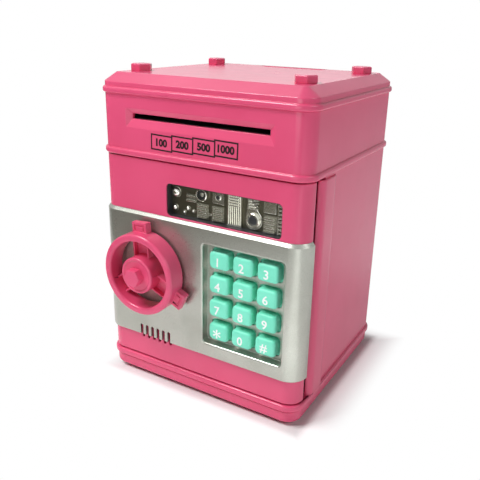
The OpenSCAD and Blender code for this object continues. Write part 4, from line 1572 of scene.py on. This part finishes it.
@dataclass
class Relief(Assembly):
    """The decorated plate behind the window, in the door's own view, and the window's dark sleeve
    of painted shade.
    """

    window: Window
    deep: float
    plate_t: float = 1.4
    root: float = 0.4
    shade_liner_in: float = -0.7
    rivets: tuple[tuple[Point, float, float], ...] = (
        ((3.6, 13.2), 2.7, 2.3), ((2.9, 4.2), 1.5, 1.8), ((9.0, 2.4), 0.9, 1.2),
        ((11.5, 5.0), 1.1, 1.5), ((14.9, 3.9), 0.8, 1.1),
    )
    big_gauge: Point = (52.6, 5.9)
    left_gauge: Point = (20.6, 14.2)
    small_gauge: Point = (31.0, 14.4)
    flange_ear: Point = (50.2, 15.4)
    flange_r: Point = (5.3, 1.4)
    parts: list[Solid] = field(default_factory=list)

    def place(self, at: Point) -> Point:
        """A place measured from the window's lower left corner."""
        return self.window.x + at[0], self.window.y + at[1]

    def raised(self, outline: Sequence[Point], height: float, ease: float) -> Solid:
        """An outline's prism that stands on the plate, with eased edges."""
        return Solid().prism(outline, self.deep - self.root, self.deep + height).eased(ease, 2)

    def dome(self, at: Point, r: float, h: float) -> None:
        """Add a domed rivet on a low collar.

        Args:
            at: Its middle.
            r: Radius of the dome.
            h: Height of the dome.
        """
        deep = self.deep
        curve = [(r * x, deep + 0.5 + (h - 0.5) * y) for x, y in arc((0, 0), 1, 0, 75, 5)]
        collar = [(r + 0.5, deep - self.root), (r + 0.5, deep + 0.35), (r + 0.1, deep + 0.5)]
        self.parts.append(Solid().turned([*collar, *curve], self.place(at), steps=24))

    def pad(self, at: Point, size: Point, h: float, ease: float = 0.2) -> None:
        """Add a raised pad.

        Args:
            at: Its lower left corner.
            size: Its width and height.
            h: How far it stands out.
            ease: Rounding of its edges.
        """
        x, y = self.place(at)
        self.parts.append(self.raised(rect(x, x + size[0], y, y + size[1]), h, ease))

    def gauge(self, at: Point, r: float, h: float, wall: float = 0.9) -> None:
        """Add a raised ring round a hollow with a stud.

        Args:
            at: Its middle.
            r: Outer radius of the ring.
            h: How far the ring stands out.
            wall: Width of the ring.
        """
        deep, root = self.deep, self.deep - self.root
        loop = [
            (r, root), (r, deep + h - 0.3), (r - 0.3, deep + h), (r - wall + 0.2, deep + h),
            (r - wall, deep + h - 0.25), (r - wall, root),
        ]
        stud = [(r * 0.35, root), (r * 0.3, deep + 0.5), (r * 0.1, deep + 0.7)]
        self.parts.append(Solid().turned(loop, self.place(at), tube=True, steps=32))
        self.parts.append(Solid().turned(stud, self.place(at), steps=16))

    def ribs(self, at: Point, size: Point, count: int, step: float, h: float) -> None:
        """Add a stack of ribs.

        Args:
            at: Left end of the lowest, at its middle.
            size: Width and height of a rib.
            count: How many.
            step: Distance between them.
            h: How far they stand out.
        """
        rib = self.raised(round_rect(size[0], size[1], 0.3, steps=2), h, 0.12)
        x, y = self.place(at)
        middle = (x + size[0] / 2, y + (count - 1) * step / 2)
        self.parts.append(self.trees.lined_up(rib, RELIEF, count, step, middle, upright=True))

    def bars(self, at: Point, size: Point, count: int, step: float, heights: Point) -> None:
        """Add a row of upright bars.

        Args:
            at: Middle of the row.
            size: Width and height of a bar.
            count: How many.
            step: Distance between them.
            heights: Lower and upper end of a bar, from the plate's front.
        """
        w, h = size[0] / 2, size[1] / 2
        low, high = (self.deep + height for height in heights)
        bar = Solid().prism(rect(-w, w, -h, h), low, high)
        self.parts.append(self.trees.lined_up(bar, RELIEF, count, step, self.place(at)))

    def flange(self) -> None:
        """Add the plate under the big gauge, with its ear."""
        outline = [
            *arc(self.place(self.big_gauge), self.flange_r[0], -150, 40, 16),
            *arc(self.place(self.flange_ear), self.flange_r[1], 30, 150, 6),
        ]
        self.parts.append(self.raised(outline, 0.9, 0.3))

    def panel(self) -> Solid:
        """The plate with all that stands on it, from left to right.

        Returns:
            The plate.
        """
        for rivet in self.rivets:
            self.dome(*rivet)
        self.pad((10.2, 8.9), (7.0, 4.6), 0.45)
        self.ribs((10.7, 9.9), (6.0, 1.1), 2, 2.4, 1.3)
        self.gauge(self.left_gauge, 3.6, 1.9)
        self.pad((27.3, 10.8), (7.4, 7.2), 0.7)
        self.gauge(self.small_gauge, 1.9, 1.5, 0.7)
        for left in (17.6, 27.4):
            self.pad((left, 0.7), (7.4, 8.6), 0.5)
            self.ribs((left + 0.9, 2.0), (5.6, 1.15), 4, 2.0, 1.8)
            self.pad((left + 0.2, 0.9), (0.9, 8.2), 1.5, 0.15)
        self.pad((24.9, 3.4), (2.2, 1.2), 1.1, 0.15)
        self.pad((37.2, 0.4), (8.6, 17.6), 1.5, 0.3)
        self.bars((41.5, 9.2), (0.32, 16.4), 7, 1.15, (1.2, 1.85))
        self.ribs((38.6, 12.0), (5.8, 0.8), 4, 1.4, 2.2)
        self.flange()
        self.gauge(self.big_gauge, 3.9, 2.4, 1.2)
        self.ribs((49.6, 12.4), (6.2, 0.8), 4, 1.45, 1.9)
        self.pad((58.2, 0.5), (7.8, 9.6), 0.5)
        self.ribs((59.0, 1.6), (6.2, 1.2), 4, 2.3, 1.9)
        self.pad((58.4, 11.2), (7.2, 6.4), 1.0)
        self.ribs((67.0, 1.6), (3.0, 0.9), 8, 2.05, 1.4)
        self.bars((68.5, 9.2), (0.6, 16.8), 2, 3.2, (-self.root, 1.1))
        plate = Solid().prism(self.window.shape(3), self.deep - self.plate_t, self.deep)
        return plate.holding(*self.parts).moved(self.levels.front_view)

    def shade_liner(self) -> Solid:
        """A dark sleeve between window and relief, and dark discs in the hollows of its gauges:
        painted shade.

        Returns:
            The sleeve.
        """
        shape, deep = self.window.shape, self.deep
        # painted shade: a dark sleeve lines the window's walls, which lie in shade
        shade_sleeve = Solid().prism(shape(-0.05), deep + 0.02, self.shade_liner_in)
        shade_sleeve = shade_sleeve.cut(Solid().prism(shape(-0.4), -9, 1))
        # painted shade: dark discs fill the gauges' hollows
        shaded_hollows = (
            (self.big_gauge, 2.6, 1.0), (self.left_gauge, 2.6, 0.12), (self.small_gauge, 1.1, 0.82)
        )
        for at, r, lift in shaded_hollows:
            shade_sleeve.holding(Solid().peg(self.place(at), r, deep - 0.3, deep + lift))
        return shade_sleeve.moved(self.levels.front_view)

    def build(self) -> None:
        """Make and dress the plate and the sleeve of painted shade."""
        name = "relief_panel"
        add_piece(name, self.panel(), RELIEF, "door", ["relief_plate"])
        add_piece("window_painted_shade_liner", self.shade_liner(), DARK, "door")


@dataclass
class Door(Assembly):
    """The door: its case, the silver fascia, the relief behind the window and the back."""

    window: Window
    tray: Tray
    wheel: Point
    slot_w: float = 2.0
    slot_h: float = 9.5
    slot_step: float = 4.05
    slots: int = 6
    fascia_t: float = 1.5
    fascia_wrap: float = 8.4
    fascia_r: float = 1.3
    fascia_ease: float = 1.75
    fascia_foot: float = 0.5
    shaft_r: float = 3.05
    relief_in: float = 5.0
    side_gap: float = 3.4
    collar_t: float = 1.4
    screw_r: float = 2.0
    post_r: float = 2.6
    post_in: float = 1.6
    ease: float = 0.3
    fascia_edge: float = 0.18
    boss_r: float = 5.0
    boss_l: float = 4.7
    hinge_l: float = 8.0

    def grille(self) -> Solid:
        """Cutters for the speaker's slots.

        Returns:
            The cutters.
        """
        half_w, half_h = self.slot_w / 2, self.slot_h / 2 - self.slot_w / 2
        outline = [*arc((0, half_h), half_w, 0, 180, 6), *arc((0, -half_h), half_w, 180, 360, 6)]
        slot = Solid().prism(outline, -6, 6)
        x, _, z = middle_of("speaker")
        return self.trees.lined_up(slot, DARK, self.slots, self.slot_step, (x, z))

    def case(self) -> Solid:
        """The door's moulded case.

        Returns:
            The case.
        """
        lv = self.levels
        low, high = lv.door_z, lv.door_top_z
        whole = lv.column(0, low, high)
        behind = Solid().block((-FAR, lv.door_back_y, low - 1), (FAR, 2 * FAR, high + 1))
        inside = lv.column(-lv.wall, low + lv.wall, high - lv.wall)
        depth = lv.door_back_y - lv.front_y
        collar = Solid().prism(self.window.shape(self.collar_t), -self.relief_in, -1)
        post = Solid().peg((0, 0), self.post_r, self.post_in - depth, -1)
        posts = self.trees.cornered(post, PINK, "door_screws", self.screw_r, True)
        boss = Solid().peg(self.wheel, self.boss_r, -self.boss_l, -1)
        parts = [part.moved(lv.front_view) for part in (collar, posts, boss)]
        reach, pin_r = self.hinge_l, lv.pin_r + 0.05
        parts.append(Solid().peg(lv.hinge, lv.boss_r, low + 0.3, low + reach))
        parts.append(Solid().peg(lv.hinge, lv.boss_r, high - reach, high - 0.3))
        pins = [
            Solid().peg(lv.hinge, pin_r, low - 1, low + reach - 1),
            Solid().peg(lv.hinge, pin_r, high - reach + 1, high + 1),
        ]
        opening = Solid().prism(self.window.shape(0), -depth, 5)
        tray = Solid().prism(self.tray.shape(self.tray.t), -lv.wall - 1, 5)
        hole = Solid().peg(self.wheel, self.shaft_r, -depth, 5)
        front = [part.moved(lv.front_view) for part in (opening, tray, hole, self.grille())]
        far_y = lv.door_back_y - self.side_gap
        sides = [
            Solid().block((x - 4, far_y, low - 1), (x + 4, FAR, high + 1))
            for x in (-lv.side_x, lv.side_x)
        ]
        case = whole.cut(behind, inside, *sides).joined(*parts)
        return case.cut(*pins, *front).eased(self.ease)

    def plate(self) -> Solid:
        """The silver plate before its cuts, wrapped round the door's corners.

        Returns:
            The plate.
        """
        lv = self.levels
        low, high = (corner.z for corner in span("fascia"))
        t, r, ease = self.fascia_t, self.fascia_r, self.fascia_ease
        foot = self.fascia_foot
        profile = [
            (0, low), (t - foot, low), *arc((t - foot, low + foot), foot, -90, 0, 3)[1:],
            (t, high - ease - 0.3), (t - 0.02, high - ease - 0.15), (t - 0.1, high - ease),
            (t - r, high - 0.3), (t - r - 0.05, high), (0, high),
        ]
        turn, end_y = lv.corner_r, lv.front_y + self.fascia_wrap
        cx, cy = lv.side_x - turn, lv.front_y + turn
        path = [(lv.side_x, end_y, 0.0)]
        path += [(cx, cy, math.radians(-a)) for a in range(0, 91, 9)]
        path += [(-cx, cy, math.radians(-a)) for a in range(90, 181, 9)]
        path.append((-lv.side_x, end_y, math.pi))
        rings = []
        for x, y, angle in path:
            nx, ny = math.cos(angle), math.sin(angle)
            reach = 0 if abs(x) == lv.side_x else turn
            rings.append([
                (x + nx * (reach + out), y + ny * (reach + out), z) for out, z in profile
            ])
        return Solid().loft(rings)

    def fascia(self) -> Solid:
        """The silver plate with its tray, slots and holes.

        Returns:
            The fascia.
        """
        view, tray = self.levels.front_view, self.tray
        pan = Solid().prism(tray.shape(tray.t), -tray.depth - tray.t, 0.5)
        start, rise = 0.3, self.fascia_t - 0.3
        rounded = [
            (tray.shape(tray.rim * (1 - x)), start + rise * y)
            for x, y in arc((0, 0), 1, 15, 90, 5)
        ]
        hollow = Solid().stack([
            (tray.shape(-0.25), -tray.depth), (tray.shape(0), -tray.depth + 0.25),
            (tray.shape(0), start), *rounded, (tray.shape(tray.rim), 5),
        ])
        hole = round_rect(tray.key_w + 2 * tray.key_gap, tray.key_h + 2 * tray.key_gap, 2.3)
        holes = self.trees.grid.grow(Solid().prism(hole, -8, 5), SILVER, {
            "Columns": 3, "Rows": 4, "Step X": tray.key_step[0], "Step Y": tray.key_step[1],
            "Middle": (tray.x, tray.y, 0),
        })
        bore = Solid().peg(self.wheel, self.shaft_r, -2, 5)
        tools = [part.moved(view) for part in (hollow, holes, bore, self.grille())]
        return self.plate().joined(pan.moved(view)).cut(*tools).eased(self.fascia_edge)

    def build(self) -> None:
        """Make and dress the door's fixed pieces."""
        add_piece("door_case", self.case(), PINK, "door", ["door_shell"])
        add_piece("silver_fascia", self.fascia(), SILVER, "door", ["fascia"])
        Relief(self.levels, self.trees, self.window, -self.relief_in).build()
        back = copy_of("door_back").eased(0.25)
        add_piece("door_inner_panel", back, PINK_INSIDE, "door", ["door_back"])


@dataclass(frozen=True)
class Symbol:
    """What is printed on a key, and its size as a share of the figures'."""

    text: str
    scale: float = 1.0


SYMBOLS = {"star": Symbol("*", 1.7), "hash": Symbol("#", 1.05)}


@dataclass
class Keypad(Assembly):
    """Twelve keys with white figures, each on its own body."""

    tray: Tray
    corner_r: float = 2.4
    edge_r: float = 1.6
    flange_t: float = 1.0
    flange_out: float = 0.8
    figure_h: float = 7.0
    figure_t: float = 0.1
    figure_heavy: float = 0.11
    figure_at: Point = (-0.7, -0.8)
    names: tuple[str, ...] = ("1", "2", "3", "4", "5", "6", "7", "8", "9", "star", "0", "hash")

    def cap(self, low: float, front: float) -> Solid:
        """A key's cap about the origin.

        Args:
            low: Back of the key's flange.
            front: Front face of the key.

        Returns:
            The cap, its front edge well rounded.
        """
        r, wide = self.edge_r, 2 * self.flange_out
        rounded = [
            (self.shape(r * (1 - x)), front - r + r * y) for x, y in arc((0, 0), 1, 0, 90, 6)
        ]
        # The face is a little cushioned
        face = [(self.shape(r + 1.2), front + 0.02), (self.shape(r + 2.4), front + 0.03)]
        cap = Solid().stack([(self.shape(0.0), low), *rounded, *face])
        flange = round_rect(self.tray.key_w + wide, self.tray.key_h + wide, 2)
        return cap.joined(Solid().prism(flange, low, low + self.flange_t))

    def shape(self, inset: float) -> list[Point]:
        """The cap's outline, drawn in by a distance."""
        r = max(self.corner_r - inset * 0.6, 0.5)
        return round_rect(self.tray.key_w - 2 * inset, self.tray.key_h - 2 * inset, r)

    def build(self) -> None:
        """Make and dress the keys."""
        for name in self.names:
            node, body = f"key_{name}", f"key_{name}_cap"
            low, high = (self.levels.front_y - corner.y for corner in reversed(span(node)))
            x, _, z = middle_of(node)
            place = self.levels.front_view @ Matrix.Translation((x, z, 0))
            cap = self.cap(low, high - 0.05).moved(place)
            add_piece(f"keycap_{name}", cap, KEY_TEAL, body, [node])
            mark = SYMBOLS.get(name, Symbol(name))
            height = self.figure_h * mark.scale
            figure = lettering(mark.text, height, self.figure_t, self.figure_heavy)
            figure.moved(place @ Matrix.Translation((*self.figure_at, high - 0.06)))
            add_piece(f"figure_{name}", figure, WHITE_PRINT, body)


@dataclass
class Handwheel(Assembly):
    """The handwheel: ring, hub, three channel spokes with lugs, and the hub's bolt."""

    centre: Point
    ring_r: float = 24.1
    ring_w: float = 4.35
    ring_out: float = 13.7
    ring_t: float = 10.9
    ring_ease: float = 1.5
    first_spoke: float = 94.2
    spoke_w: float = 10.8
    rib_front: float = 8.5
    lug_r: float = 29.6
    lug_w: float = 9.9
    lug_front: float = 8.0
    hub_r: float = 10.7
    hub_back: float = 1.8
    hub_out: float = 14.3
    bolt_r: float = 5.3
    bolt_h: float = 4.5
    bolt_ease: Point = (0.6, 0.45)
    rib_t: float = 1.1
    web: Point = (1.0, 2.6)
    notch_in: float = 1.6
    notch_w: float = 0.8
    notch_d: float = 0.7
    back_ease: float = 0.6
    hub_ease: float = 0.9
    dish: float = 0.45
    bore: Point = (3.0, 4.0)

    def spoke(self) -> Solid:
        """A channel spoke along +X with the lug at its end.

        Returns:
            The spoke.
        """
        back = self.ring_out - self.ring_t
        w, ring_in = self.spoke_w / 2, self.ring_r - self.ring_w
        start, end = self.hub_r - 2, ring_in + 1
        low, high = (back + level for level in self.web)
        web = Solid().block((start, -w, low), (end, w, high))
        ribs = [
            Solid().block((start, y, low), (end, y + self.rib_t, self.rib_front))
            for y in (-w, w - self.rib_t)
        ]
        near, far, half = self.ring_r - 1.3, self.lug_r, self.lug_w / 2
        lug = Solid().stack([
            (rect(near, far, -w, w), back + 1.2), (rect(near, far, -half, half), self.lug_front),
        ])
        return web.joined(*ribs, lug)

    def notch(self) -> Solid:
        """Cutter for the bracket-shaped groove in a lug's front.

        Returns:
            The cutter.
        """
        w, line, z = self.lug_w / 2 - self.notch_in, self.notch_w, self.lug_front
        low, near, far = z - self.notch_d, self.ring_r + 0.5, self.lug_r - self.notch_in
        bar = Solid().block((far - line, -w, low), (far, w, z + 1))
        legs = [Solid().block((near, y, low), (far, y + line, z + 1)) for y in (-w, w - line)]
        return bar.joined(*legs)

    def ring(self) -> Solid:
        """The ring, rounder in front than behind.

        Returns:
            The ring.
        """
        front, r, ease = self.ring_out, self.ring_ease, self.back_ease
        back, out, inn = front - self.ring_t, self.ring_r, self.ring_r - self.ring_w
        return Solid().turned([
            *arc((out - ease, back + ease), ease, -90, 0, 3),
            *arc((out - r, front - r), r, 0, 90, 6), *arc((inn + r, front - r), r, 90, 180, 6),
            *arc((inn + ease, back + ease), ease, 180, 270, 3),
        ], tube=True, steps=96)

    def hub(self) -> Solid:
        """The hub, with a shallow dish round its bolt.

        Returns:
            The hub.
        """
        r, out, ease, floor = self.hub_r, self.hub_out, self.hub_ease, self.hub_out - self.dish
        return Solid().turned([
            (r, self.hub_back), *arc((r - ease, out - ease), ease, 0, 90, 5),
            (r - 1.7, out), (r - 2.0, floor), (4.0, floor),
        ], steps=64)

    def wheel(self) -> Solid:
        """The whole wheel but its bolt.

        Returns:
            The wheel.
        """
        values = {"Count": 3, "Start": math.radians(self.first_spoke)}
        spokes, notches = (
            self.trees.ring.grow(shape, PINK, values) for shape in (self.spoke(), self.notch())
        )
        bore = Solid().peg((0, 0), self.bore[0], -1, self.hub_out - self.bore[1])
        return self.ring().joined(self.hub(), spokes).cut(notches, bore).eased(0.32)

    def bolt(self) -> Solid:
        """The hexagonal bolt on the hub.

        Returns:
            The bolt.
        """
        low, high = self.hub_out - self.dish, self.hub_out + self.bolt_h
        inward, down = self.bolt_ease
        return Solid().stack([
            (hexagon(self.bolt_r), low), (hexagon(self.bolt_r), high - down),
            (hexagon(self.bolt_r - inward), high),
        ]).eased(0.25)

    def build(self) -> None:
        """Make and dress the wheel and its bolt."""
        place = self.levels.front_view @ Matrix.Translation((*self.centre, 0))
        for name, solid, node in (("hand_wheel", self.wheel(), "handwheel"),
                                  ("hub_bolt_head", self.bolt(), "hub_bolt")):
            add_piece(name, solid.moved(place), PINK, "wheel", [node])


@dataclass
class Fittings(Assembly):
    """Feet, screws, springs and the inner pieces that get rounded edges."""

    foot_r: float = 6.0
    screw_head_r: float = 2.0
    screw_head_h: Point = (0.35, 0.65)
    shank_r: float = 1.1
    wire_r: float = 0.3
    coil_turns: float = 5.0
    travel: float = 3.0
    screw_lengths: tuple[tuple[str, float], ...] = (
        ("floor_screws", 9), ("deck_screws", 3.9), ("door_screws", 5.6),
    )

    def screw(self, length: float) -> Solid:
        """A pan-head screw with a cross recess, pointing down from the origin.

        Args:
            length: Length of the shank under the head.

        Returns:
            The screw.
        """
        head, shank, (low, dome) = self.screw_head_r, self.shank_r, self.screw_head_h
        profile = [
            (0.3, -length), (shank, 1.2 - length), (shank, 0), (head, 0), (head, low),
            *[(head * math.cos(a), low + dome * math.sin(a)) for a in (0.3, 0.6, 0.9, 1.2, 1.45)],
        ]
        arms = [
            Solid().block((-a, -b, 0.45), (a, b, 2)) for a, b in ((1.2, 0.24), (0.24, 1.2))
        ]
        return Solid().turned(profile, steps=24).cut(arms[0].joined(arms[1]))

    def screws(self) -> None:
        """The floor, deck and door screws."""
        lv, head = self.levels, self.screw_head_r
        for node, length in self.screw_lengths:
            high, body, screw = span(node)[1], "cabinet", self.screw(length)
            on_door = node == "door_screws"
            if on_door:
                body, seat = "door", lv.front_y - (high.y - 1)
                turn = Matrix.Rotation(math.pi, 4, "X")
                screw.moved(Matrix.Translation((0, 0, seat)) @ turn)
            else:
                screw.shifted(0, 0, high.z - 1)
            group = self.trees.cornered(screw, STEEL, node, head, on_door)
            if on_door:
                group.moved(lv.front_view)
            add_piece(f"{node}_driven", group, STEEL, body, [node])

    def feet(self) -> None:
        """Four rubber feet with a moulded ring underneath."""
        r, top = self.foot_r, self.levels.foot_z
        profile = [
            (r - 3.0, 0.35), (r - 2.6, 0.02), (r - 0.5, 0.02), (r - 0.1, 0.3), (r, 0.6), (r, top),
        ]
        foot = Solid().turned(profile, steps=40)
        group = self.trees.cornered(foot, RUBBER, "feet", r)
        add_piece("rubber_feet", group, RUBBER, "cabinet", ["feet"])

    def spring(self) -> None:
        """The plunger's spring."""
        low, high = span("plunger_spring")
        wire, height = self.wire_r, high.z - low.z
        middle = (low + high) / 2
        coil = self.trees.coil.grow(Solid(), STEEL_UP, {
            "Turns": self.coil_turns, "Radius": (high.x - low.x) / 2 - wire, "Wire": wire,
            "Length": height - 2 * wire,
        }).shifted(middle.x, middle.y, low.z + wire)
        piece = add_piece("plunger_coil", coil, STEEL_UP, "door", ["plunger_spring"])
        1 - self.travel / height
        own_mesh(piece)

    def softened(self) -> None:
        """Inner pieces that keep their shape and get rounded edges."""
        for node, body, finish, slot, width in (
            ("compartment_floor", "cabinet", DARK, "dark_plastic", 0.25),
            ("latch_keeper", "cabinet", STEEL_UP, "steel", 0.2),
            ("latch_cam", "wheel", STEEL_UP, "steel", 0.2),
            ("battery_cover", "cabinet", PINK, "pink_plastic", 0.15),
        ):
            solid = copy_of(node).eased(width)
            add_piece(f"{node}_eased", solid, finish, body, [node])

    def build(self) -> None:
        """Make and dress them all."""
        self.feet()
        self.screws()
        self.spring()
        self.softened()


CARRIED: dict[str, Finish] = {
    "battery_box": DARK, "battery_screw": STEEL, "batteries": JACKET, "battery_springs": STEEL,
    "battery_contacts": STEEL, "hinge_pins": STEEL_UP, "feed_deck": DARK,
    "bill_guide_lower": DARK, "bill_guide_upper": DARK, "feed_brackets": STEEL_UP,
    "coin_chute": DARK, "feed_motor": STEEL, "feed_board": BOARD, "bill_sensor": DARK,
    "drive_shaft": STEEL, "drive_tyres": RUBBER, "drive_gear": NYLON, "idler_shaft": STEEL,
    "idler_tyres": RUBBER, "motor_shaft": STEEL, "motor_pinion": NYLON, "key_mat": RUBBER,
    "keypad_board": BOARD, "speaker": DARK, "lock_solenoid": STEEL_UP, "wheel_shaft": STEEL,
    "lock_disc": STEEL, "cam_screw": STEEL, "lock_plunger": STEEL_UP,
}


def dress_carried_nodes() -> None:
    """Give every node that is kept from the frame its finish."""
    for name, finish in CARRIED.items():
        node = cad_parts[name]
        if not node.material_slots:
            node.data.materials.append(finish.material())
        for slot in node.material_slots:
            slot.material = finish.material()
        LOG.info("%s: kept, finished as %s", name, finish.name)


# ---------------------------------------------------------------- studio


@dataclass(frozen=True)
class Softbox:
    """A soft studio lamp that faces a point."""

    name: str
    at: Place
    towards: Place
    size: Point
    watts: float

    def hang(self) -> None:
        """Put the lamp in the scene."""
        lamp = bpy.data.lights.new(self.name, "AREA")
        lamp.shape = "RECTANGLE"
        lamp.size, lamp.size_y = self.size
        lamp.energy = self.watts
        holder = in_scene(self.name, lamp)
        holder.location = self.at
        aim = Vector(self.towards) - Vector(self.at)
        holder.rotation_euler = aim.to_track_quat("-Z", "Y").to_euler()


@dataclass
class Studio:
    """Camera, lamps, pale floor and white surroundings."""

    eye: Place = (0.17317, -0.29947, 0.2103)
    right: Place = (0.862235, 0.506014, 0.022371)
    up: Place = (-0.184032, 0.271826, 0.944586)
    back: Place = (0.471893, -0.818572, 0.327501)
    lens: float = 44.345
    shift: Point = (-0.00763, -0.02677)
    paper: Colour = (0.82, 0.82, 0.82, 1)
    floor_half: float = 4000.0
    floor_glow: float = 0.38
    # oblong round the bank where the floor's glow fades out: a painted shadow
    shade: Point = (0.067, 0.063)
    shade_mid: Point = (0.0, 0.0087)
    shade_at: Point = (0.98, 1.08)
    white_mid: Point = (0.008, 0.008)
    white_at: Point = (0.9, 1.22)
    # direction and reach of the painted reflection of a dark table
    ahead: Point = (-0.62, -0.78)
    table_reflection_r: Point = (0.15, 0.33)
    painted_table_reflection: Colour = (0.085, 0.075, 0.05, 1)
    # painted highlight: a bright strip on the floor that only glossy rays see
    lane_along: Point = (0.64, -0.77)
    lane_across: Point = (0.77, 0.64)
    lane_r: Point = (0.1, 0.14)
    lane_w: Point = (0.035, 0.08)
    highlight_lane_glow: float = 1.8
    ambient: float = 0.0
    mirrored: float = 0.7
    lamps: tuple[Softbox, ...] = (
        Softbox("overhead", (-0.42, -0.46, 1.02), (0, 0, 0.09), (0.4, 0.4), 10.6),
        Softbox("front", (0.0, -1.1, 0.16), (0, 0, 0.03), (0.6, 0.3), 1.9),
        Softbox("left", (-0.5, 0.0, 1.1), (0, 0, 0.09), (0.5, 0.5), 1.0),
        Softbox("far", (-0.5, 0.9, 0.55), (0, 0, 0.09), (0.9, 0.4), 1.2),
        Softbox("right", (1.1, -0.1, 0.7), (0, 0, 0.09), (0.6, 0.6), 3.5),
    )

    def camera(self) -> None:
        """Set up the camera."""
        data = bpy.data.cameras.new("camera")
        data.lens = self.lens
        data.sensor_width = 36.0
        data.shift_x, data.shift_y = self.shift
        data.clip_start, data.clip_end = 0.01, 50
        camera = in_scene("camera", data)
        turn = Matrix((self.right, self.up, self.back)).transposed().to_4x4()
        camera.matrix_world = Matrix.Translation(self.eye) @ turn
        bpy.context.scene.camera = camera

    def off(self, graph: Graph, place: Sock, middle: Point) -> Sock:
        """How far a place lies from a middle, where 1 is the edge of the shaded oblong.

        Args:
            graph: The floor's tree.
            place: The place on the floor.
            middle: Middle of the oblong.

        Returns:
            The distance.
        """
        parts = graph.node("ShaderNodeSeparateXYZ", {}, {0: place})
        wide, deep = (
            (Sock(graph, parts.outputs[axis]) - start).absolute() * (1 / half)
            for axis, start, half in zip("XY", middle, self.shade)
        )
        return wide.maximum(deep)

    def floor_surface(self, graph: Graph) -> Sock:
        """Paper that glows away from the bank, with a painted shadow round it, a painted table
        reflection and a painted highlight strip.

        Args:
            graph: The floor's tree.

        Returns:
            The shader.
        """
        place = graph.value("ShaderNodeTexCoord", {}, {}, "Object")
        glossy = graph.rays("Is Glossy Ray")
        paper = graph.value("ShaderNodeBsdfDiffuse", {}, {"Color": self.paper})
        lit = graph.value("ShaderNodeAddShader", {}, {0: paper, 1: graph.glow(self.floor_glow)})
        # painted shadow: the glow, which also lights the bank from below, fades out round the
        # bank, leaving the floor darker there
        surface = graph.mixed(
            self.off(graph, place, self.shade_mid).ramp(*self.shade_at), paper, lit
        )
        # painted reflection: glossy rays see a dark table colour on the floor ahead and to the
        # left
        painted_table_reflection = graph.along(place, *self.ahead).ramp(*self.table_reflection_r) * glossy
        surface = graph.mixed(painted_table_reflection, surface, graph.glow(1.0, self.painted_table_reflection))
        # painted highlight: the glossy-only strip shows as upright bright bands on the rounded
        # corners
        across = graph.along(place, *self.lane_across).absolute()
        highlight_lane = graph.along(place, *self.lane_along).ramp(*self.lane_r)
        highlight_lane = highlight_lane * (1 - across.ramp(*self.lane_w)) * glossy
        surface = graph.mixed(highlight_lane, surface, graph.glow(self.highlight_lane_glow))
        direct = graph.rays("Is Camera Ray", "Is Transmission Ray")
        away = self.off(graph, place, self.white_mid).ramp(*self.white_at)
        return graph.mixed(away * direct, surface, graph.glow(1.0))

    def floor(self) -> None:
        """A plain pale floor that fades to white away from the bank."""
        half = self.floor_half
        mesh = Solid().prism(rect(-half, half, -half, half), -2, 0).mesh()
        mesh.transform(Matrix.Scale(MM, 4))
        floor = in_scene("floor", mesh)
        material = bpy.data.materials.new("floor_white")
        material.use_nodes = True
        graph = Graph(material.node_tree)
        surface = self.floor_surface(graph)
        graph.node("ShaderNodeOutputMaterial", {}, {"Surface": surface})
        mesh.materials.append(material)

    def surroundings(self) -> None:
        """White for the eye, greyer in mirrors and as a light."""
        world = bpy.data.worlds.new("surroundings")
        world.use_nodes = True
        graph = Graph(world.node_tree)
        direct = graph.rays("Is Camera Ray", "Is Transmission Ray")
        mirror = graph.rays("Is Glossy Ray")
        rest = 1 - direct.maximum(mirror)
        strength = direct + mirror * (1 - direct) * self.mirrored + rest * self.ambient
        air = graph.value("ShaderNodeBackground", {}, {"Color": WHITE, "Strength": strength})
        graph.node("ShaderNodeOutputWorld", {}, {"Surface": air})
        bpy.context.scene.world = world

    def build(self) -> None:
        """Set the whole studio up."""
        self.camera()
        for lamp in self.lamps:
            lamp.hang()
        self.floor()
        self.surroundings()
        bpy.context.scene.view_settings.view_transform = "Standard"


def main() -> None:
    """Build and dress the coin bank."""
    logging.basicConfig(level=logging.INFO, format="%(name)s: %(message)s")
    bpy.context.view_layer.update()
    levels = Levels.read()
    trees = Trees.build()
    Studio().build()
    x, _, z = middle_of("wheel_shaft")
    wheel = (x, z)
    corner = span("relief_plate")[0]
    window = Window(corner.x + 3, corner.z + 3)
    x, _, z = middle_of("key_mat")
    tray = Tray(x, z)
    assemblies = (
        Cabinet(levels, trees), Head(levels, trees), Roof(levels, trees),
        Door(levels, trees, window, tray, wheel), Keypad(levels, trees, tray),
        Handwheel(levels, trees, wheel), Fittings(levels, trees),
    )
    for assembly in assemblies:
        assembly.build()
    dress_carried_nodes()


if __name__ == "__main__":
    main()
